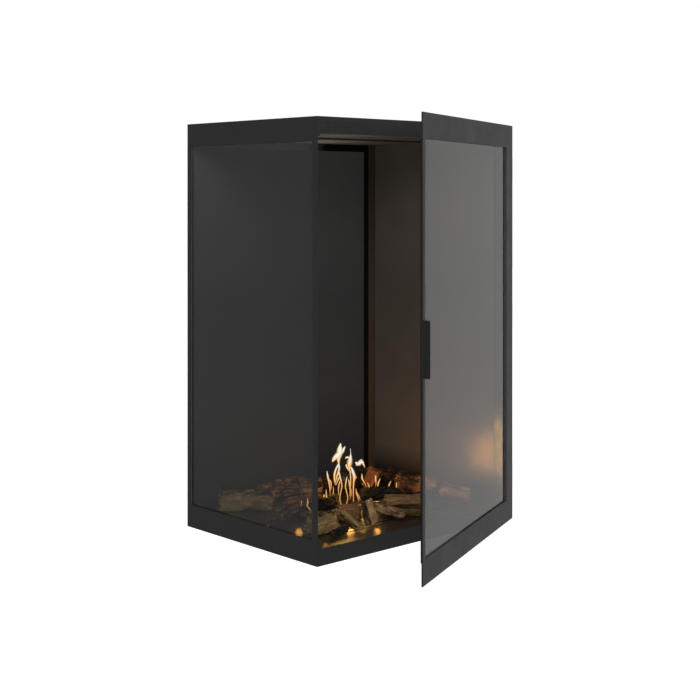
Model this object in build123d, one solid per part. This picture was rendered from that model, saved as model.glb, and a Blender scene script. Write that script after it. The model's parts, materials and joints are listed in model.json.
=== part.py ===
from build123d import *
import os

# Corner fireplace that burns bioethanol: glass on the left, a glass door in front, closed back and right side.
# The origin is the centre of the base's underside. X runs right along the front, Y runs to the back, Z runs up.
# The door stands open by door_open_angle, as it is met in use with the fire lit.

# Casing
casing_width = 657.0
casing_depth = 491.0
casing_height = 1000.0
pan_gauge = 2.0
sheet_gauge = 1.5
plate_gauge = 3.0
rail_height = 38.0
post_width = 38.0
post_depth = 30.0
seat_gap = 0.3
cut_overrun = 5.0

# Painted plate frames round the two windows
band_height = 56.0
side_front_stile = 17.0
side_back_stile = 14.0
door_hinge_stile = 53.0
door_free_stile = 16.0

# Glass
glass_gauge = 4.0
glass_lap = 8.0
gasket_gauge = 1.2
gasket_setback = 1.0
clip_length = 24.0
clip_foot = 4.5
clip_lip = 7.0
clip_gauge = 1.5
clip_edge_gap = 0.3

# Door, hinges and handle
door_width = 651.0
door_open_angle = 23.8
door_gap = 0.3
door_floor_gap = 1.0
hinge_foot_height = 110.0
hinge_head_inset = 110.0
hinge_middle_lift = 20.0
knuckle_radius = 3.0
knuckle_length = 20.0
knuckle_gap = 0.3
knuckle_swing_gap = 0.4
tang_length = 18.0
pin_radius = 1.8
pin_running_gap = 0.05
pin_head_radius = 2.7
pin_head_height = 1.5
handle_length = 122.0
handle_fin = 16.0
handle_flange = 15.0
handle_gauge = 3.0
handle_screw_spacing = 80.0
screw_radius = 1.5
screw_gap = 0.05
screw_head_radius = 3.0
screw_head_height = 1.8
screw_bite = 2.0

# Magnetic catches in the top rail
magnet_width = 30.0
magnet_height = 10.0
magnet_body_lip = 3.0
magnet_body_depth = 12.0
magnet_inset = 28.0
magnet_spacing = 50.0

# Base, hearth deck and its air slots
anchor_hole_radius = 4.5
anchor_inset_x = 60.0
anchor_inset_y = 55.0
deck_gauge = 3.0
bearer_width = 14.0
air_slot_length = 430.0
air_slot_width = 5.0
air_slot_pitch = 20.0
air_slot_count = 3
air_slot_first = 68.0
air_slot_left = 100.0

# Top: heat outlet slots, ceiling with its slot and the deflector above it
outlet_slot_length = 70.0
outlet_slot_width = 6.0
outlet_slot_pitch = 32.0
outlet_slot_count = 16
outlet_from_back = 110.0
ceiling_slot_front = 178.0
ceiling_slot_depth = 90.0
ceiling_slot_side = 60.0
deflector_lap = 12.0
deflector_rise = 12.0

# Back and right walls of the fire chamber
liner_inset = 32.0
back_face_inset = 12.0
panel_gauge = 4.0
panel_lap = 8.0
surround_top = 19.0
surround_foot = 20.0
surround_left = 14.0
surround_right = 33.0
trim_width = 17.0
trim_return = 10.0
trim_gauge = 1.2
chamber_gap = 0.8
spacer_width = 40.0
spacer_height = 60.0
corner_block_width = 4.5
corner_block_depth = 12.0
corner_block_height = 6.4

# Burner, its tray and the sliding lid
burner_left = 180.0
burner_front = 235.0
burner_depth = 110.0
burner_flange = 8.0
burner_slot_length = 330.0
burner_slot_end = 20.0
burner_slot_depth = 26.0
burner_slot_front = 262.0
burner_plate_gauge = 2.0
burner_wall_gauge = 1.5
tray_margin = 15.0
tray_height = 12.0
tray_gauge = 1.2
rest_bar_width = 20.0
rest_bar_height = 3.0
rest_bar_inset = 45.0
wool_height = 17.0
wool_gap = 0.5
recess_rim = 5.0
guide_web = 8.0
guide_lip = 12.0
guide_lip_gauge = 0.8
lid_depth = 44.0
lid_gauge = 1.5
lid_travel = 41.0
lid_overlap = 9.0
lid_side_gap = 1.0
lid_tab_width = 12.0
lid_tab_gauge = 1.2
lid_tab_height = 3.4
lid_tab_inset = 30.0

# Casing screws through the rims of base and top
rim_screw_radius = 3.2
rim_screw_inset = 70.0

# Ceramic logs: sizes of the kinds, then each log's kind, size and place
log_middle = 150.0
log_short = 110.0
log_small = 85.0
log_chip = 62.0
log_stout = 58.0
log_medium = 48.0
log_slim = 38.0
log_thin = 26.0
twig_width = 22.0

# Planes and sizes worked out from the sizes above
burner_length = burner_slot_length + 2 * burner_slot_end
x_left = -casing_width / 2
x_right = casing_width / 2
y_front = -casing_depth / 2
y_back = casing_depth / 2
pan_left = x_left + plate_gauge
room_left = pan_left + pan_gauge
room_right = x_right - pan_gauge - sheet_gauge
room_front = y_front + pan_gauge
room_back = y_back - pan_gauge - sheet_gauge
cap_low = casing_height - rail_height
deck_top = rail_height
deck_low = deck_top - deck_gauge
ceiling_low = cap_low
ceiling_top = ceiling_low + sheet_gauge
liner_face = x_right - liner_inset
back_face = y_back - back_face_inset
surround_back = back_face + sheet_gauge
side_glass_outer = x_left + plate_gauge + gasket_gauge
side_glass_inner = side_glass_outer + glass_gauge
chamber_left = side_glass_inner + chamber_gap
door_inner_face = y_front - door_gap
door_outer_face = door_inner_face - plate_gauge
door_glass_outer = door_inner_face + gasket_gauge
door_glass_inner = door_glass_outer + glass_gauge
door_left = x_right - door_width
hinge_axis = (x_right, door_inner_face)
hinge_centre_heights = (
    hinge_foot_height, casing_height / 2 + hinge_middle_lift, casing_height - hinge_head_inset
)


def block(x_from, x_to, y_from, y_to, z_from, z_to):
    centre = Pos((x_from + x_to) / 2, (y_from + y_to) / 2, (z_from + z_to) / 2)
    return centre * Box(x_to - x_from, y_to - y_from, z_to - z_from)


def upright_rod(x, y, z_from, z_to, radius):
    return Pos(x, y, (z_from + z_to) / 2) * Cylinder(radius, z_to - z_from)


def rod_along_y(x, z, y_from, y_to, radius):
    return Pos(x, (y_from + y_to) / 2, z) * Rot(90, 0, 0) * Cylinder(radius, y_to - y_from)


def opened(shape):
    """Turn a piece of the closed door about the hinge axis to where the door stands."""
    to_axis = Pos(hinge_axis[0], hinge_axis[1], 0)
    return to_axis * Rot(0, 0, door_open_angle) * Pos(-hinge_axis[0], -hinge_axis[1], 0) * shape


# Base and top

def rim_screw_places():
    across = [x_left + rim_screw_inset, 0, x_right - rim_screw_inset]
    heights = [rail_height / 2, casing_height - rail_height / 2]
    return [(x, z) for x in across for z in heights]


def cut_rim_holes(pan):
    for x, z in rim_screw_places():
        low = y_back - pan_gauge - seat_gap
        pan -= rod_along_y(x, z, low, y_back + cut_overrun, rim_screw_radius + screw_gap)
    return pan


def base_pan():
    outside = block(pan_left, x_right, y_front, y_back, 0, rail_height)
    inside = block(
        room_left, x_right - pan_gauge, room_front, y_back - pan_gauge, pan_gauge, rail_height + cut_overrun
    )
    pan = outside - inside
    for side in (-1, 1):
        for end in (-1, 1):
            x = side * (casing_width / 2 - anchor_inset_x)
            y = end * (casing_depth / 2 - anchor_inset_y)
            pan -= upright_rod(x, y, -cut_overrun, pan_gauge + cut_overrun, anchor_hole_radius)
    return cut_rim_holes(pan)


def magnet_lefts():
    first = x_left + magnet_inset
    return [first, first + magnet_spacing]


def magnet_low():
    return casing_height - rail_height / 2 - magnet_height / 2


def top_rim():
    outside = block(pan_left, x_right, y_front, y_back, cap_low, casing_height)
    inside = block(
        room_left, x_right - pan_gauge, room_front, y_back - pan_gauge,
        cap_low - cut_overrun, casing_height + cut_overrun
    )
    rim = outside - inside
    for left in magnet_lefts():
        rim -= block(
            left, left + magnet_width, y_front - cut_overrun, room_front + seat_gap,
            magnet_low(), magnet_low() + magnet_height
        )
    return cut_rim_holes(rim)


def top_plate():
    plate = block(
        room_left, x_right - pan_gauge, room_front, y_back - pan_gauge, casing_height - pan_gauge, casing_height
    )
    outlet_back = y_back - outlet_from_back
    row_start = -outlet_slot_pitch * (outlet_slot_count - 1) / 2
    for index in range(outlet_slot_count):
        x = row_start + index * outlet_slot_pitch
        slot = block(
            x - outlet_slot_width / 2, x + outlet_slot_width / 2,
            outlet_back - outlet_slot_length, outlet_back,
            casing_height - pan_gauge - cut_overrun, casing_height + cut_overrun
        )
        plate -= slot
    return plate


def rim_screws():
    screws = []
    for x, z in rim_screw_places():
        head = rod_along_y(x, z, y_back - pan_gauge, y_back, rim_screw_radius)
        shank = rod_along_y(x, z, room_back, y_back - pan_gauge, screw_radius)
        screws.append(head + shank)
    return Compound(children=screws)


def catch_magnets():
    magnets = []
    for left in magnet_lefts():
        nose = block(
            left + seat_gap, left + magnet_width - seat_gap, y_front, room_front,
            magnet_low() + seat_gap, magnet_low() + magnet_height - seat_gap
        )
        body = block(
            left - magnet_body_lip, left + magnet_width + magnet_body_lip,
            room_front, room_front + magnet_body_depth,
            magnet_low() - magnet_body_lip, magnet_low() + magnet_height + magnet_body_lip
        )
        magnets.append(nose + body)
    return Compound(children=magnets)


# Outer sheets, hinge post and corner blocks

def back_casing():
    sheet = block(
        room_left, x_right - pan_gauge, room_back, y_back - pan_gauge, pan_gauge, casing_height - pan_gauge
    )
    for x, z in rim_screw_places():
        sheet -= rod_along_y(x, z, room_back - cut_overrun, y_back, screw_radius + screw_gap)
    return sheet


def right_casing():
    return block(
        room_right, x_right - pan_gauge, y_front + post_depth, room_back, pan_gauge, casing_height - pan_gauge
    )


def hinge_levels(centre_height):
    """Heights of the lower fixed, the door's and the upper fixed knuckle."""
    lift = knuckle_length + knuckle_gap
    middle = (centre_height - knuckle_length / 2, centre_height + knuckle_length / 2)
    lower = (middle[0] - lift, middle[1] - lift)
    upper = (middle[0] + lift, middle[1] + lift)
    return lower, middle, upper


def knuckle_swing_room(centre_height):
    lower, middle, upper = hinge_levels(centre_height)
    return upright_rod(
        hinge_axis[0], hinge_axis[1], lower[0] - knuckle_gap, upper[1] + pin_head_height + knuckle_gap,
        knuckle_radius + knuckle_swing_gap
    )


def hinge_post():
    outside = block(x_right - post_width, x_right, y_front, y_front + post_depth, rail_height, cap_low)
    inside = block(
        x_right - post_width + sheet_gauge, x_right - sheet_gauge,
        y_front + sheet_gauge, y_front + post_depth - sheet_gauge,
        rail_height - cut_overrun, cap_low + cut_overrun
    )
    post = outside - inside
    for height in hinge_centre_heights:
        post -= knuckle_swing_room(height)
        lower, middle, upper = hinge_levels(height)
        for level in (lower, upper):
            post -= block(
                x_right - sheet_gauge, x_right + cut_overrun,
                y_front, y_front + tang_length, level[0], level[1]
            )
    return post


def corner_blocks():
    blocks = []
    for low in (rail_height, cap_low - corner_block_height):
        blocks.append(block(
            pan_left, pan_left + corner_block_width, y_front, y_front + corner_block_depth,
            low, low + corner_block_height
        ))
    return Compound(children=blocks)


# Left side: frame, gasket, glass and clips

side_window = (y_front + side_front_stile, y_back - side_back_stile, band_height, casing_height - band_height)


def side_sheet(x_from, x_to, reach):
    """A sheet in the left side's plane that reaches past the window by the same amount all round."""
    y_low, y_high, z_low, z_high = side_window
    return block(x_from, x_to, y_low - reach, y_high + reach, z_low - reach, z_high + reach)


def side_frame():
    plate = block(x_left, pan_left, y_front, y_back, 0, casing_height)
    return plate - side_sheet(x_left - cut_overrun, pan_left + cut_overrun, 0)


def side_gasket():
    ring = side_sheet(pan_left, side_glass_outer, glass_lap)
    return ring - side_sheet(pan_left - cut_overrun, side_glass_outer + cut_overrun, gasket_setback)


def side_glass():
    return side_sheet(side_glass_outer, side_glass_inner, glass_lap)


def side_glass_clips():
    y_low, y_high, z_low, z_high = side_window
    clips = []
    y_third = (y_high - y_low) / 4
    for y in (y_low + y_third, y_high - y_third):
        for edge, outward in ((z_low - glass_lap, -1), (z_high + glass_lap, 1)):
            foot_from = edge + outward * clip_edge_gap
            foot_to = foot_from + outward * clip_foot
            lip_from = edge - outward * clip_lip
            foot = block(
                pan_left, side_glass_inner + clip_gauge, y - clip_length / 2, y + clip_length / 2,
                min(foot_from, foot_to), max(foot_from, foot_to)
            )
            lip = block(
                side_glass_inner, side_glass_inner + clip_gauge, y - clip_length / 2, y + clip_length / 2,
                min(lip_from, foot_to), max(lip_from, foot_to)
            )
            clips.append(foot + lip)
    return Compound(children=clips)


# Fire chamber: ceiling, back and right walls

ceiling_slot = (
    room_left + ceiling_slot_side, room_right - ceiling_slot_side,
    y_front + ceiling_slot_front, y_front + ceiling_slot_front + ceiling_slot_depth
)


def ceiling_plate():
    plate = block(
        room_left + seat_gap, room_right - seat_gap, room_front + seat_gap, room_back - seat_gap,
        ceiling_low, ceiling_top
    )
    left, right, front, back = ceiling_slot
    return plate - block(left, right, front, back, ceiling_low - cut_overrun, ceiling_top + cut_overrun)


def ceiling_deflector():
    left, right, front, back = ceiling_slot
    outside = block(
        left - deflector_lap, right + deflector_lap, front - deflector_lap, back + deflector_lap,
        ceiling_top, ceiling_top + deflector_rise + sheet_gauge
    )
    inside = block(
        left - deflector_lap - cut_overrun, right + deflector_lap + cut_overrun,
        front - deflector_lap + sheet_gauge, back + deflector_lap - sheet_gauge,
        ceiling_top - cut_overrun, ceiling_top + deflector_rise
    )
    return outside - inside


back_window = (
    chamber_left + surround_left, liner_face - surround_right,
    deck_top + surround_foot, ceiling_low - surround_top
)


def back_surround():
    sheet = block(chamber_left, liner_face, back_face, surround_back, deck_top, ceiling_low)
    x_low, x_high, z_low, z_high = back_window
    return sheet - block(x_low, x_high, back_face - cut_overrun, surround_back + cut_overrun, z_low, z_high)


def back_panel():
    x_low, x_high, z_low, z_high = back_window
    return block(
        x_low - panel_lap, x_high + panel_lap, surround_back, surround_back + panel_gauge,
        z_low - panel_lap, z_high + panel_lap
    )


def back_spacers():
    x_low, x_high, z_low, z_high = back_window
    spacers = []
    for x in (x_low + spacer_width, x_high - spacer_width):
        for z in (z_low + spacer_height, (z_low + z_high) / 2, z_high - spacer_height):
            spacers.append(block(
                x - spacer_width / 2, x + spacer_width / 2, surround_back + panel_gauge, room_back,
                z - spacer_height / 2, z + spacer_height / 2
            ))
    return Compound(children=spacers)


def right_liner():
    return block(
        liner_face, liner_face + sheet_gauge, y_front + post_depth, surround_back, deck_top, ceiling_low
    )


def side_insulation():
    return block(
        liner_face + sheet_gauge, room_right, y_front + post_depth, surround_back, deck_top, ceiling_low
    )


def back_corner_trim():
    face = block(
        liner_face - trim_width, liner_face, back_face - trim_gauge, back_face, deck_top, ceiling_low
    )
    side = block(
        liner_face - trim_gauge, liner_face, back_face - trim_return, back_face, deck_top, ceiling_low
    )
    return face + side


# Hearth deck and its bearers

burner_box_edges = (
    x_left + burner_left, x_left + burner_left + burner_length,
    y_front + burner_front, y_front + burner_front + burner_depth
)


def hearth_deck():
    deck = block(
        room_left + seat_gap, room_right - seat_gap, room_front + seat_gap, room_back - seat_gap,
        deck_low, deck_top
    )
    left, right, front, back = burner_box_edges
    deck -= block(
        left + recess_rim, right - recess_rim, front + recess_rim, back - recess_rim,
        deck_low - cut_overrun, deck_top + cut_overrun
    )
    for index in range(air_slot_count):
        y = y_front + air_slot_first + index * air_slot_pitch
        x = x_left + air_slot_left
        deck -= block(
            x, x + air_slot_length, y - air_slot_width / 2, y + air_slot_width / 2,
            deck_low - cut_overrun, deck_top + cut_overrun
        )
    return deck


def deck_bearers():
    def angle(x_from, x_to, y_from, y_to, room):
        return block(x_from, x_to, y_from, y_to, pan_gauge, deck_low) - room

    low = pan_gauge - cut_overrun
    high = deck_low - sheet_gauge
    side_front = room_front + bearer_width
    side_back = room_back - bearer_width
    front = angle(
        room_left, room_right, room_front, room_front + bearer_width,
        block(
            room_left - cut_overrun, room_right + cut_overrun,
            room_front + sheet_gauge, room_front + bearer_width + cut_overrun, low, high
        )
    )
    back = angle(
        room_left, room_right, room_back - bearer_width, room_back,
        block(
            room_left - cut_overrun, room_right + cut_overrun,
            room_back - bearer_width - cut_overrun, room_back - sheet_gauge, low, high
        )
    )
    left = angle(
        room_left, room_left + bearer_width, side_front, side_back,
        block(
            room_left + sheet_gauge, room_left + bearer_width + cut_overrun,
            side_front - cut_overrun, side_back + cut_overrun, low, high
        )
    )
    right = angle(
        room_right - bearer_width, room_right, side_front, side_back,
        block(
            room_right - bearer_width - cut_overrun, room_right - sheet_gauge,
            side_front - cut_overrun, side_back + cut_overrun, low, high
        )
    )
    return Compound(children=[front, back, left, right])


# Burner, from the base upwards

tray_floor_top = pan_gauge + tray_gauge
burner_low = tray_floor_top + rest_bar_height
guide_low = deck_low - lid_gauge - guide_lip_gauge - 2 * seat_gap
burner_plate_low = guide_low - burner_plate_gauge
lid_low = guide_low + seat_gap
lid_left = burner_box_edges[0] + recess_rim - guide_lip + guide_web / 2 + lid_side_gap
lid_right = burner_box_edges[1] - recess_rim + guide_lip - guide_web / 2 - lid_side_gap
slot_front = y_front + burner_slot_front
slot_back = slot_front + burner_slot_depth
lid_closed_front = slot_front - lid_overlap
lid_open_front = lid_closed_front + lid_travel


def open_tray(x_from, x_to, y_from, y_to, z_from, z_to, gauge):
    outside = block(x_from, x_to, y_from, y_to, z_from, z_to)
    inside = block(
        x_from + gauge, x_to - gauge, y_from + gauge, y_to - gauge, z_from + gauge, z_to + cut_overrun
    )
    return outside - inside


def spill_tray():
    left, right, front, back = burner_box_edges
    return open_tray(
        left - tray_margin, right + tray_margin, front - tray_margin, back + tray_margin,
        pan_gauge, pan_gauge + tray_height, tray_gauge
    )


def burner_rest_bars():
    left, right, front, back = burner_box_edges
    bars = []
    for x in (left + rest_bar_inset, right - rest_bar_inset - rest_bar_width):
        bars.append(block(x, x + rest_bar_width, front, back, tray_floor_top, burner_low))
    return Compound(children=bars)


def burner_box():
    left, right, front, back = burner_box_edges
    return open_tray(left, right, front, back, burner_low, burner_plate_low, burner_wall_gauge)


def burner_wool():
    left, right, front, back = burner_box_edges
    inset = burner_wall_gauge + wool_gap
    low = burner_low + burner_wall_gauge
    return block(left + inset, right - inset, front + inset, back - inset, low, low + wool_height)


def burner_top():
    left, right, front, back = burner_box_edges
    plate = block(
        left - burner_flange, right + burner_flange, front - burner_flange, back + burner_flange,
        burner_plate_low, guide_low
    )
    return plate - block(
        left + burner_slot_end, right - burner_slot_end, slot_front, slot_back,
        burner_plate_low - cut_overrun, guide_low + cut_overrun
    )


def lid_guides():
    left, right, front, back = burner_box_edges
    guides = []
    for edge, inward in ((left + recess_rim, 1), (right - recess_rim, -1)):
        web_outer = edge - inward * guide_lip
        web_inner = web_outer + inward * guide_web / 2
        lip_inner = edge
        web = block(
            min(web_outer, web_inner), max(web_outer, web_inner), front, back, guide_low, deck_low
        )
        lip = block(
            min(web_outer, lip_inner), max(web_outer, lip_inner), front, back,
            deck_low - guide_lip_gauge, deck_low
        )
        guides.append(web + lip)
    return Compound(children=guides)


def burner_lid():
    return block(
        lid_left, lid_right, lid_open_front, lid_open_front + lid_depth, lid_low, lid_low + lid_gauge
    )


def lid_tab():
    x = lid_right - lid_tab_inset - guide_lip
    y = lid_open_front + lid_depth / 2
    tab = block(
        x - lid_tab_width, x, y - lid_tab_gauge / 2, y + lid_tab_gauge / 2,
        lid_low + lid_gauge, lid_low + lid_gauge + lid_tab_height
    )
    return tab


# Door, made closed and then turned open

door_window = (
    door_left + door_free_stile, x_right - door_hinge_stile, band_height, casing_height - band_height
)


def door_sheet(y_from, y_to, reach):
    x_low, x_high, z_low, z_high = door_window
    return block(x_low - reach, x_high + reach, y_from, y_to, z_low - reach, z_high + reach)


def handle_screw_places():
    x = door_left + (handle_gauge + handle_flange) / 2
    middle = casing_height / 2
    return [(x, middle - handle_screw_spacing / 2), (x, middle + handle_screw_spacing / 2)]


def door_frame():
    plate = block(door_left, x_right, door_outer_face, door_inner_face, door_floor_gap, casing_height)
    plate -= door_sheet(door_outer_face - cut_overrun, door_inner_face + cut_overrun, 0)
    for height in hinge_centre_heights:
        plate -= knuckle_swing_room(height)
        lower, middle, upper = hinge_levels(height)
        plate -= block(
            x_right - tang_length, x_right + cut_overrun, door_outer_face - cut_overrun,
            door_inner_face + cut_overrun, middle[0], middle[1]
        )
    for x, z in handle_screw_places():
        plate -= rod_along_y(x, z, door_outer_face - cut_overrun, door_inner_face, screw_radius + screw_gap)
    return opened(plate)


def door_gasket():
    ring = door_sheet(door_inner_face, door_glass_outer, glass_lap)
    hole = door_sheet(door_inner_face - cut_overrun, door_glass_outer + cut_overrun, gasket_setback)
    return opened(ring - hole)


def door_glass():
    return opened(door_sheet(door_glass_outer, door_glass_inner, glass_lap))


def door_glass_clips():
    x_low, x_high, z_low, z_high = door_window
    clips = []
    y_lip = door_glass_inner + clip_gauge
    quarter = (x_high - x_low) / 4
    for x in (x_low + quarter, x_high - quarter):
        for edge, outward in ((z_low - glass_lap, -1), (z_high + glass_lap, 1)):
            foot_from = edge + outward * clip_edge_gap
            foot_to = foot_from + outward * clip_foot
            lip_from = edge - outward * clip_lip
            foot = block(
                x - clip_length / 2, x + clip_length / 2, door_inner_face, y_lip,
                min(foot_from, foot_to), max(foot_from, foot_to)
            )
            lip = block(
                x - clip_length / 2, x + clip_length / 2, door_glass_inner, y_lip,
                min(lip_from, foot_to), max(lip_from, foot_to)
            )
            clips.append(foot + lip)
    for z in (z_low + (z_high - z_low) / 4, z_high - (z_high - z_low) / 4):
        foot_left = x_high + glass_lap + clip_edge_gap
        foot = block(
            foot_left, foot_left + clip_foot, door_inner_face, y_lip, z - clip_length / 2, z + clip_length / 2
        )
        lip = block(
            foot_left - clip_edge_gap - clip_lip, foot_left + clip_foot, door_glass_inner, y_lip,
            z - clip_length / 2, z + clip_length / 2
        )
        clips.append(foot + lip)
    return opened(Compound(children=clips))


def door_handle():
    low = (casing_height - handle_length) / 2
    fin = block(
        door_left, door_left + handle_gauge, door_outer_face - handle_fin, door_outer_face,
        low, low + handle_length
    )
    flange = block(
        door_left, door_left + handle_flange, door_outer_face - handle_gauge, door_outer_face,
        low, low + handle_length
    )
    angle = fin + flange
    for x, z in handle_screw_places():
        angle -= rod_along_y(
            x, z, door_outer_face - handle_gauge - cut_overrun, door_outer_face + cut_overrun,
            screw_radius + screw_gap
        )
    return opened(angle)


def handle_screws():
    screws = []
    face = door_outer_face - handle_gauge
    for x, z in handle_screw_places():
        head = rod_along_y(x, z, face - screw_head_height, face, screw_head_radius)
        shank = rod_along_y(x, z, face, door_outer_face + screw_bite, screw_radius)
        screws.append(head + shank)
    return opened(Compound(children=screws))


def knuckle(level):
    return upright_rod(hinge_axis[0], hinge_axis[1], level[0], level[1], knuckle_radius)


def pin_bore(level):
    return upright_rod(
        hinge_axis[0], hinge_axis[1], level[0] - cut_overrun, level[1] + cut_overrun, pin_radius + pin_running_gap
    )


def door_knuckles():
    knuckles = []
    for height in hinge_centre_heights:
        lower, middle, upper = hinge_levels(height)
        tang = block(
            x_right - tang_length, x_right, door_outer_face, door_inner_face, middle[0], middle[1]
        )
        knuckles.append(knuckle(middle) + tang - pin_bore(middle))
    return opened(Compound(children=knuckles))


def casing_knuckles():
    knuckles = []
    for height in hinge_centre_heights:
        lower, middle, upper = hinge_levels(height)
        for level in (lower, upper):
            tang = block(
                x_right - sheet_gauge, x_right, hinge_axis[1], y_front + tang_length, level[0], level[1]
            )
            knuckles.append(knuckle(level) + tang - pin_bore(level))
    return Compound(children=knuckles)


def hinge_pins():
    pins = []
    for height in hinge_centre_heights:
        lower, middle, upper = hinge_levels(height)
        shank = upright_rod(hinge_axis[0], hinge_axis[1], lower[0], upper[1], pin_radius)
        head = upright_rod(hinge_axis[0], hinge_axis[1], upper[1], upper[1] + pin_head_height, pin_head_radius)
        pins.append(shank + head)
    return Compound(children=pins)


# Ceramic logs. A section's points are shares of the log's width and height, flat at the foot.

section_shares = {
    "split": [(-0.46, 0.0), (0.44, 0.0), (0.50, 0.22), (0.20, 0.92), (0.04, 1.0), (-0.24, 0.86), (-0.48, 0.36)],
    "half": [(-0.40, 0.0), (0.40, 0.0), (0.50, 0.34), (0.40, 0.80), (0.06, 1.0), (-0.30, 0.90), (-0.50, 0.42)],
    "round": [(-0.24, 0.0), (0.24, 0.0), (0.47, 0.24), (0.49, 0.66), (0.24, 0.95), (-0.12, 1.0),
              (-0.43, 0.76), (-0.49, 0.28)],
    "wedge": [(-0.50, 0.0), (0.48, 0.0), (0.50, 0.20), (-0.08, 1.0), (-0.32, 0.94), (-0.50, 0.50)],
}
end_length_share = 0.12
end_height_share = 0.84
end_width_share = 0.86


def log_section(kind, x, width, height):
    points = [Vector(x, across * width, up * height) for across, up in section_shares[kind]]
    return Face(Wire.make_polygon(points, close=True))


def log_body(kind, length, width, height):
    """A log along X with its foot at Z 0, a little thinner at both ends."""
    half = length / 2
    inner = half - end_length_share * length
    stations = [
        (-half, end_width_share, end_height_share), (-inner, 1, 1), (inner, 1, 1),
        (half, end_width_share, end_height_share),
    ]
    sections = [log_section(kind, x, wide * width, high * height) for x, wide, high in stations]
    return Solid.make_loft([section.outer_wire() for section in sections], ruled=True)


# The part of the hearth that the logs lie in, clear of the hinge post and the walls
bed_left = chamber_left
bed_right = liner_face
bed_front = y_front + post_depth
bed_back = back_face


def turned_log(kind, length, width, height, turn, lean):
    return Rot(0, 0, turn) * (Rot(0, -lean, 0) * log_body(kind, length, width, height))


def meets(log, other):
    if not log.bounding_box().overlaps(other.bounding_box()):
        return False
    return (log & other) is not None


def settled(log, earlier):
    """Lift a log that meets earlier ones until it lies a seat gap above them."""
    if not any(meets(log, other) for other in earlier):
        return log
    meeting = 0
    clear = max(other.bounding_box().max.Z for other in earlier)
    while clear - meeting > seat_gap / 4:
        middle = (meeting + clear) / 2
        if any(meets(Pos(0, 0, middle) * log, other) for other in earlier):
            meeting = middle
        else:
            clear = middle
    return Pos(0, 0, clear + seat_gap) * log


def laid(log, across_share, deep_share, earlier):
    """Lay a log on the deck, with shares of the free room beside and behind it, or on the earlier logs it meets."""
    box = log.bounding_box()
    x = bed_left + across_share * (bed_right - bed_left - box.size.X) - box.min.X
    y = bed_front + deep_share * (bed_back - bed_front - box.size.Y) - box.min.Y
    return settled(Pos(x, y, deck_top + seat_gap - box.min.Z) * log, earlier)


# Each node's logs, the carriers first: kind, length, width, height, shares of the free room, turn and lean
logs = {
    "log_left_split": [("split", log_middle, log_stout, log_stout, 0.079, 0.972, -44, 0)],
    "log_rear_left_bark": [("half", log_middle, log_slim, log_medium, 0.379, 0.979, -20, 5)],
    "log_left_bark": [("round", log_short, log_slim, log_thin, 0.358, 0.710, -16, 0)],
    "log_rear_grey": [("half", log_chip, log_thin, log_stout, 0.466, 0.769, -20, 0)],
    "branch_pair": [
        ("round", log_middle, twig_width, twig_width, 0.219, 0.485, -74, 0),
        ("round", log_short, twig_width, twig_width, 0.030, 0.405, 0, 14),
    ],
    "log_front_left": [("split", log_small, log_stout, log_medium, 0.111, 0.139, 4, 0)],
    "kindling": [
        ("half", log_chip, log_thin, log_thin, 0.150, 0.027, 10, 0),
        ("round", log_chip, log_thin, log_thin, 0.928, 0.329, 0, 0),
    ],
    "log_front_split": [("wedge", log_small, log_slim, log_thin, 0.272, 0.035, 80, 14)],
    "log_front_wedge": [("wedge", log_chip, log_slim, log_thin, 0.346, 0.054, 100, 66)],
    "log_behind_split": [("half", log_chip, log_slim, log_slim, 0.353, 0.231, -50, 0)],
    "log_centre_low": [("half", log_short, log_slim, log_thin, 0.599, 0.000, -44, 0)],
    "log_centre_split": [("wedge", log_short, log_medium, log_thin, 0.597, 0.063, -38, 0)],
    "log_centre_round": [("round", log_small, log_thin, log_thin, 0.461, 0.035, -36, -18)],
    "log_rear_dark": [("half", log_middle, log_medium, log_medium, 0.710, 0.879, -6, 0)],
    "log_rear_upright": [("split", log_chip, log_slim, log_slim, 0.801, 0.703, -50, 60)],
    "log_rear_right": [("round", log_short, log_medium, log_medium, 0.964, 0.888, -34, 0)],
    "log_rear_knot": [("half", log_chip, log_slim, log_medium, 0.989, 0.662, 24, 0)],
    "log_right_bark": [("split", log_short, log_medium, log_medium, 0.984, 0.488, -40, 0)],
    "log_right_front": [("half", log_small, log_slim, log_slim, 0.948, 0.098, -62, -10)],
    "charred_logs": [
        ("half", log_short, log_slim, log_slim, 0.391, 0.520, 20, 0),
        ("half", log_short, log_slim, log_slim, 0.718, 0.460, -35, 0),
    ],
}


def laid_nodes():
    """The solid or the group of solids of each log node."""
    earlier = []
    made = {}
    for node, rows in logs.items():
        group = []
        for kind, length, width, height, across_share, deep_share, turn, lean in rows:
            log = turned_log(kind, length, width, height, turn, lean)
            group.append(laid(log, across_share, deep_share, earlier))
            earlier.append(group[-1])
        made[node] = group[0] if len(group) == 1 else Compound(children=group)
    return made


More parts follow.
